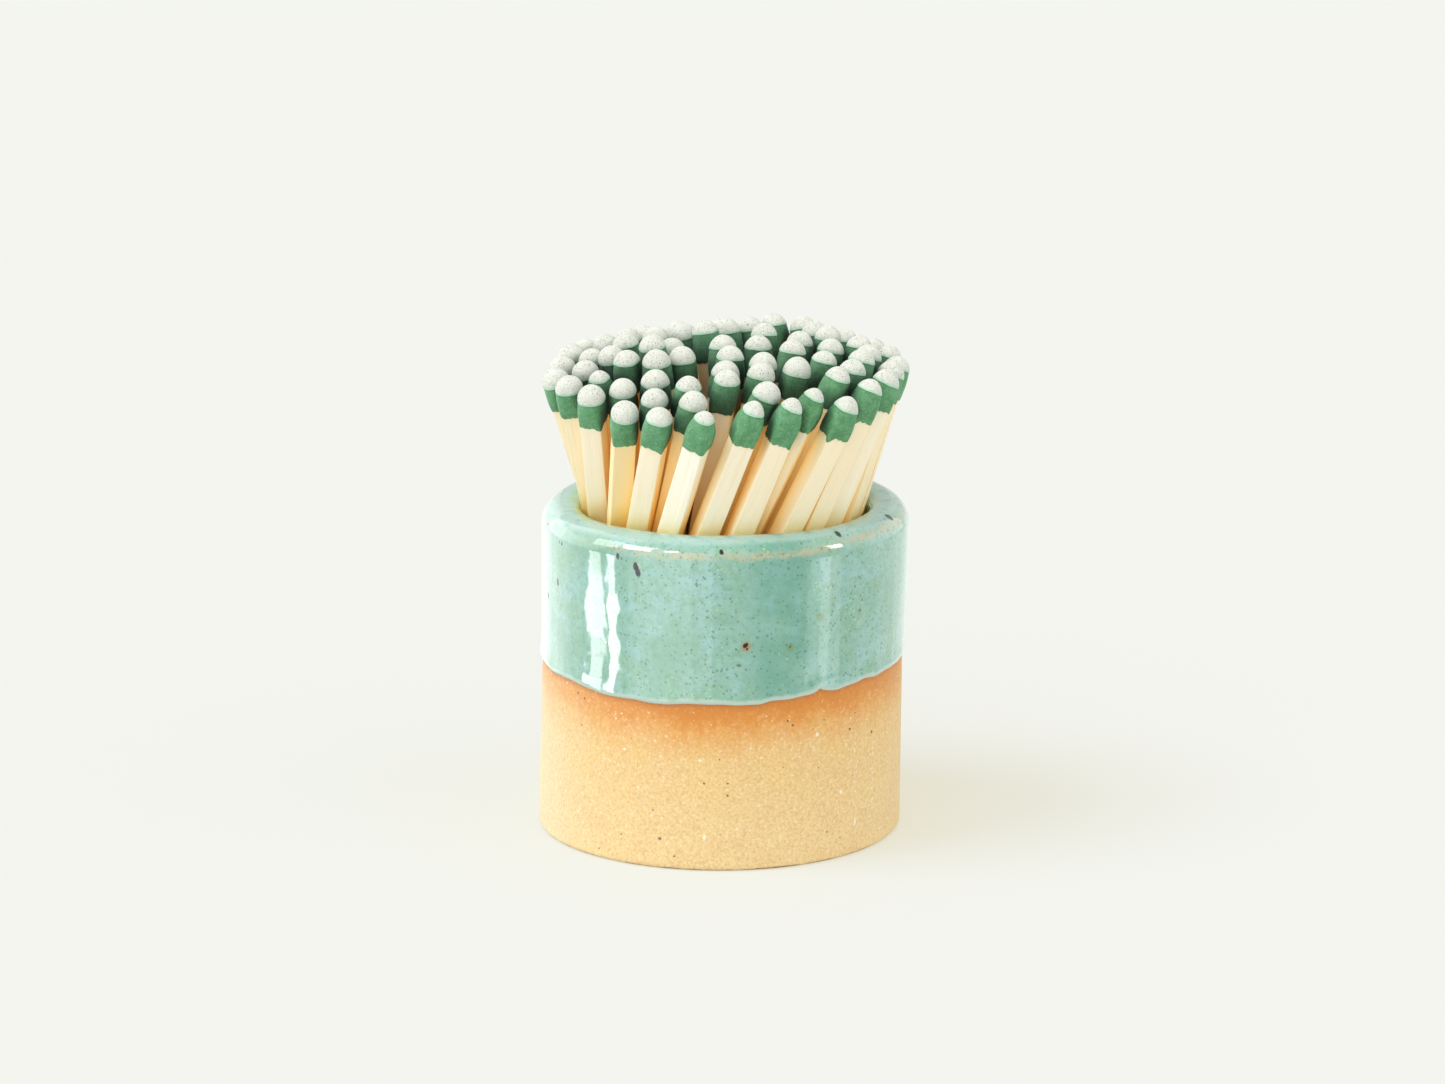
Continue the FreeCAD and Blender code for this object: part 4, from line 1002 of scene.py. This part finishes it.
def sun(name, azimuth, elevation, strength, size, colour, glossy=False):
    """Azimuth in degrees from the front (-Y) towards +X: where the light comes from."""
    data = bpy.data.lights.new(name, "SUN")
    data.energy, data.angle, data.color = strength, math.radians(size), colour
    ob = bpy.data.objects.new(name, data)
    a, e = math.radians(azimuth), math.radians(elevation)
    back = Vector((math.sin(a) * math.cos(e), -math.cos(a) * math.cos(e), math.sin(e)))
    ob.rotation_euler = back.to_track_quat("Z", "Y").to_euler()
    ob.visible_glossy = glossy
    bpy.context.scene.collection.objects.link(ob)
    return ob


def card(name, centre, facing, width, height, radiance, colour):
    """A softbox seen only in reflections: its place and size in millimetres, its brightness against paper white."""
    data = bpy.data.lights.new(name, "AREA")
    data.shape, data.size, data.size_y = "RECTANGLE", width * MM, height * MM
    data.energy = radiance * math.pi * width * height * MM * MM
    data.color = colour
    ob = bpy.data.objects.new(name, data)
    ob.location = Vector(centre) * MM
    # an area light shines along its local -Z; its height stays as upright as it can
    ob.rotation_euler = (Vector(centre) - Vector(facing)).to_track_quat("Z", "Y").to_euler()
    ob.visible_camera = ob.visible_diffuse = ob.visible_transmission = False
    bpy.context.scene.collection.objects.link(ob)
    return ob


def crown_card(name, left, right, rise, spread, radiance, colour, distance=300):
    """A long softbox that the rounded shoulder mirrors as a streak between two angles from the front,
    where its surface has leaned back by rise degrees from the upright; spread is its height in degrees of slope."""
    view = Vector((0, -math.cos(math.radians(PITCH)), math.sin(math.radians(PITCH))))
    ends = []
    for deg in (left, right):
        t, p = math.radians(deg), math.radians(rise)
        normal = Vector((math.sin(t) * math.cos(p), -math.cos(t) * math.cos(p), math.sin(p)))
        away = 2 * normal.dot(view) * normal - view
        start = Vector((18.9 * math.sin(t), -18.9 * math.cos(t), 34.4))
        ends.append((start + away * distance, start, away))
    centre = (ends[0][0] + ends[1][0]) / 2
    spot = (ends[0][1] + ends[1][1]) / 2
    span = ends[1][0] - ends[0][0]
    height = 2 * distance * math.radians(spread)
    data = bpy.data.lights.new(name, "AREA")
    data.shape, data.size, data.size_y = "RECTANGLE", span.length * MM, height * MM
    data.energy = radiance * math.pi * span.length * height * MM * MM
    data.color = colour
    ob = bpy.data.objects.new(name, data)
    ob.location = centre * MM
    x_axis = span.normalized()
    out = (centre - spot).normalized()
    z_axis = (out - out.dot(x_axis) * x_axis).normalized()
    y_axis = z_axis.cross(x_axis)
    ob.rotation_euler = Matrix((x_axis, y_axis, z_axis)).transposed().to_euler()
    ob.visible_camera = ob.visible_diffuse = ob.visible_transmission = False
    bpy.context.scene.collection.objects.link(ob)
    return ob


def wall_card(name, left, right, distance, low, high, radiance, colour):
    """A standing softbox placed where the pot's upright wall mirrors it between two angles from the front."""
    ends = []
    for deg in (left, right):
        t, m = math.radians(deg), math.radians(2 * deg)
        ends.append(Vector((19.57 * math.sin(t) + distance * math.sin(m), -19.57 * math.cos(t) - distance * math.cos(m), 0)))
    mid, span = (ends[0] + ends[1]) / 2, ends[1] - ends[0]
    t = math.radians((left + right) / 2)
    z = (low + high) / 2
    data = bpy.data.lights.new(name, "AREA")
    data.shape, data.size, data.size_y = "RECTANGLE", span.length * MM, (high - low) * MM
    data.energy = radiance * math.pi * span.length * (high - low) * MM * MM
    data.color = colour
    ob = bpy.data.objects.new(name, data)
    ob.location = (mid.x * MM, mid.y * MM, z * MM)
    x_axis = span.normalized()
    out = x_axis.cross(Vector((0, 0, 1)))
    to_pot = Vector((19.57 * math.sin(t), -19.57 * math.cos(t), 0)) - mid
    z_axis = -out if out.dot(to_pot) > 0 else out
    y_axis = z_axis.cross(x_axis)
    ob.rotation_euler = Matrix((x_axis, y_axis, z_axis)).transposed().to_euler()
    ob.visible_camera = ob.visible_diffuse = ob.visible_transmission = False
    bpy.context.scene.collection.objects.link(ob)
    return ob


sun("key", -75, 58, 1.33, 30, (1.0, 0.985, 0.95))
sun("front", -32, 38, 0.68, 60, (1.0, 0.995, 0.98))
sun("right", 62, 35, 0.50, 60, (1.0, 0.995, 0.985))
wall_card("window_a", -47.6, -40.3, 60, 7.2, 17.0, 11, (1.0, 1.0, 1.0))
wall_card("window_a_top", -47.2, -41.3, 60, 17.0, 24, 7, (1.0, 1.0, 1.0))
wall_card("window_a_foot", -46.0, -41.0, 60, 1, 6.9, 9, (0.97, 1.0, 1.0))
wall_card("window_b", -39.6, -34.2, 60, 2.8, 13.6, 15, (1.0, 1.0, 1.0))
wall_card("window_b_top", -39.4, -35.8, 60, 13.6, 24, 12, (1.0, 1.0, 1.0))
wall_card("band", 27.5, 38.5, 60, 1, 22, 1.6, (0.86, 0.95, 1.0))
wall_card("band_core", 30.5, 35.0, 60, 1, 22, 2.0, (0.86, 0.95, 1.0))
wall_card("left_fill", -31, -4, 62, 0, 90, 1.2, (0.96, 1.0, 1.0))
wall_card("left_fill_core", -28, -10, 60, 0, 90, 1.0, (0.96, 1.0, 1.0))
for step in range(5):
    wall_card("left_glow_%d" % step, -88 + step * 3, -47 - step * 3, 64 - step, 0, 60, 0.36, (1.0, 1.0, 1.0))
for step in range(4):
    wall_card("right_glow_%d" % step, 40 + step * 4, 88 - step * 3, 64 - step, 0, 60, 0.16, (1.0, 1.0, 0.99))
card("paper_behind_left", (-300, 120, 200), (0, 0, 30), 460, 520, 1.6, (1.0, 1.0, 0.99))
card("paper_behind_right", (300, 120, 200), (0, 0, 30), 460, 520, 0.9, (1.0, 1.0, 0.99))
crown_card("streak_left", -46.5, -35.4, 31, 14, 5.5, (1.0, 1.0, 1.0))
crown_card("streak_mid", -34.2, -23.5, 30, 10, 15, (1.0, 1.0, 1.0))
crown_card("streak_right", -20.5, -14.5, 30, 5, 12, (1.0, 1.0, 1.0))
crown_card("streak_far", 34.5, 40.5, 27, 8, 14, (0.95, 0.99, 1.0))

view = bpy.context.scene.view_settings
view.view_transform = "Standard"
view.look = "None"
view.exposure, view.gamma = 0.0, 1.0
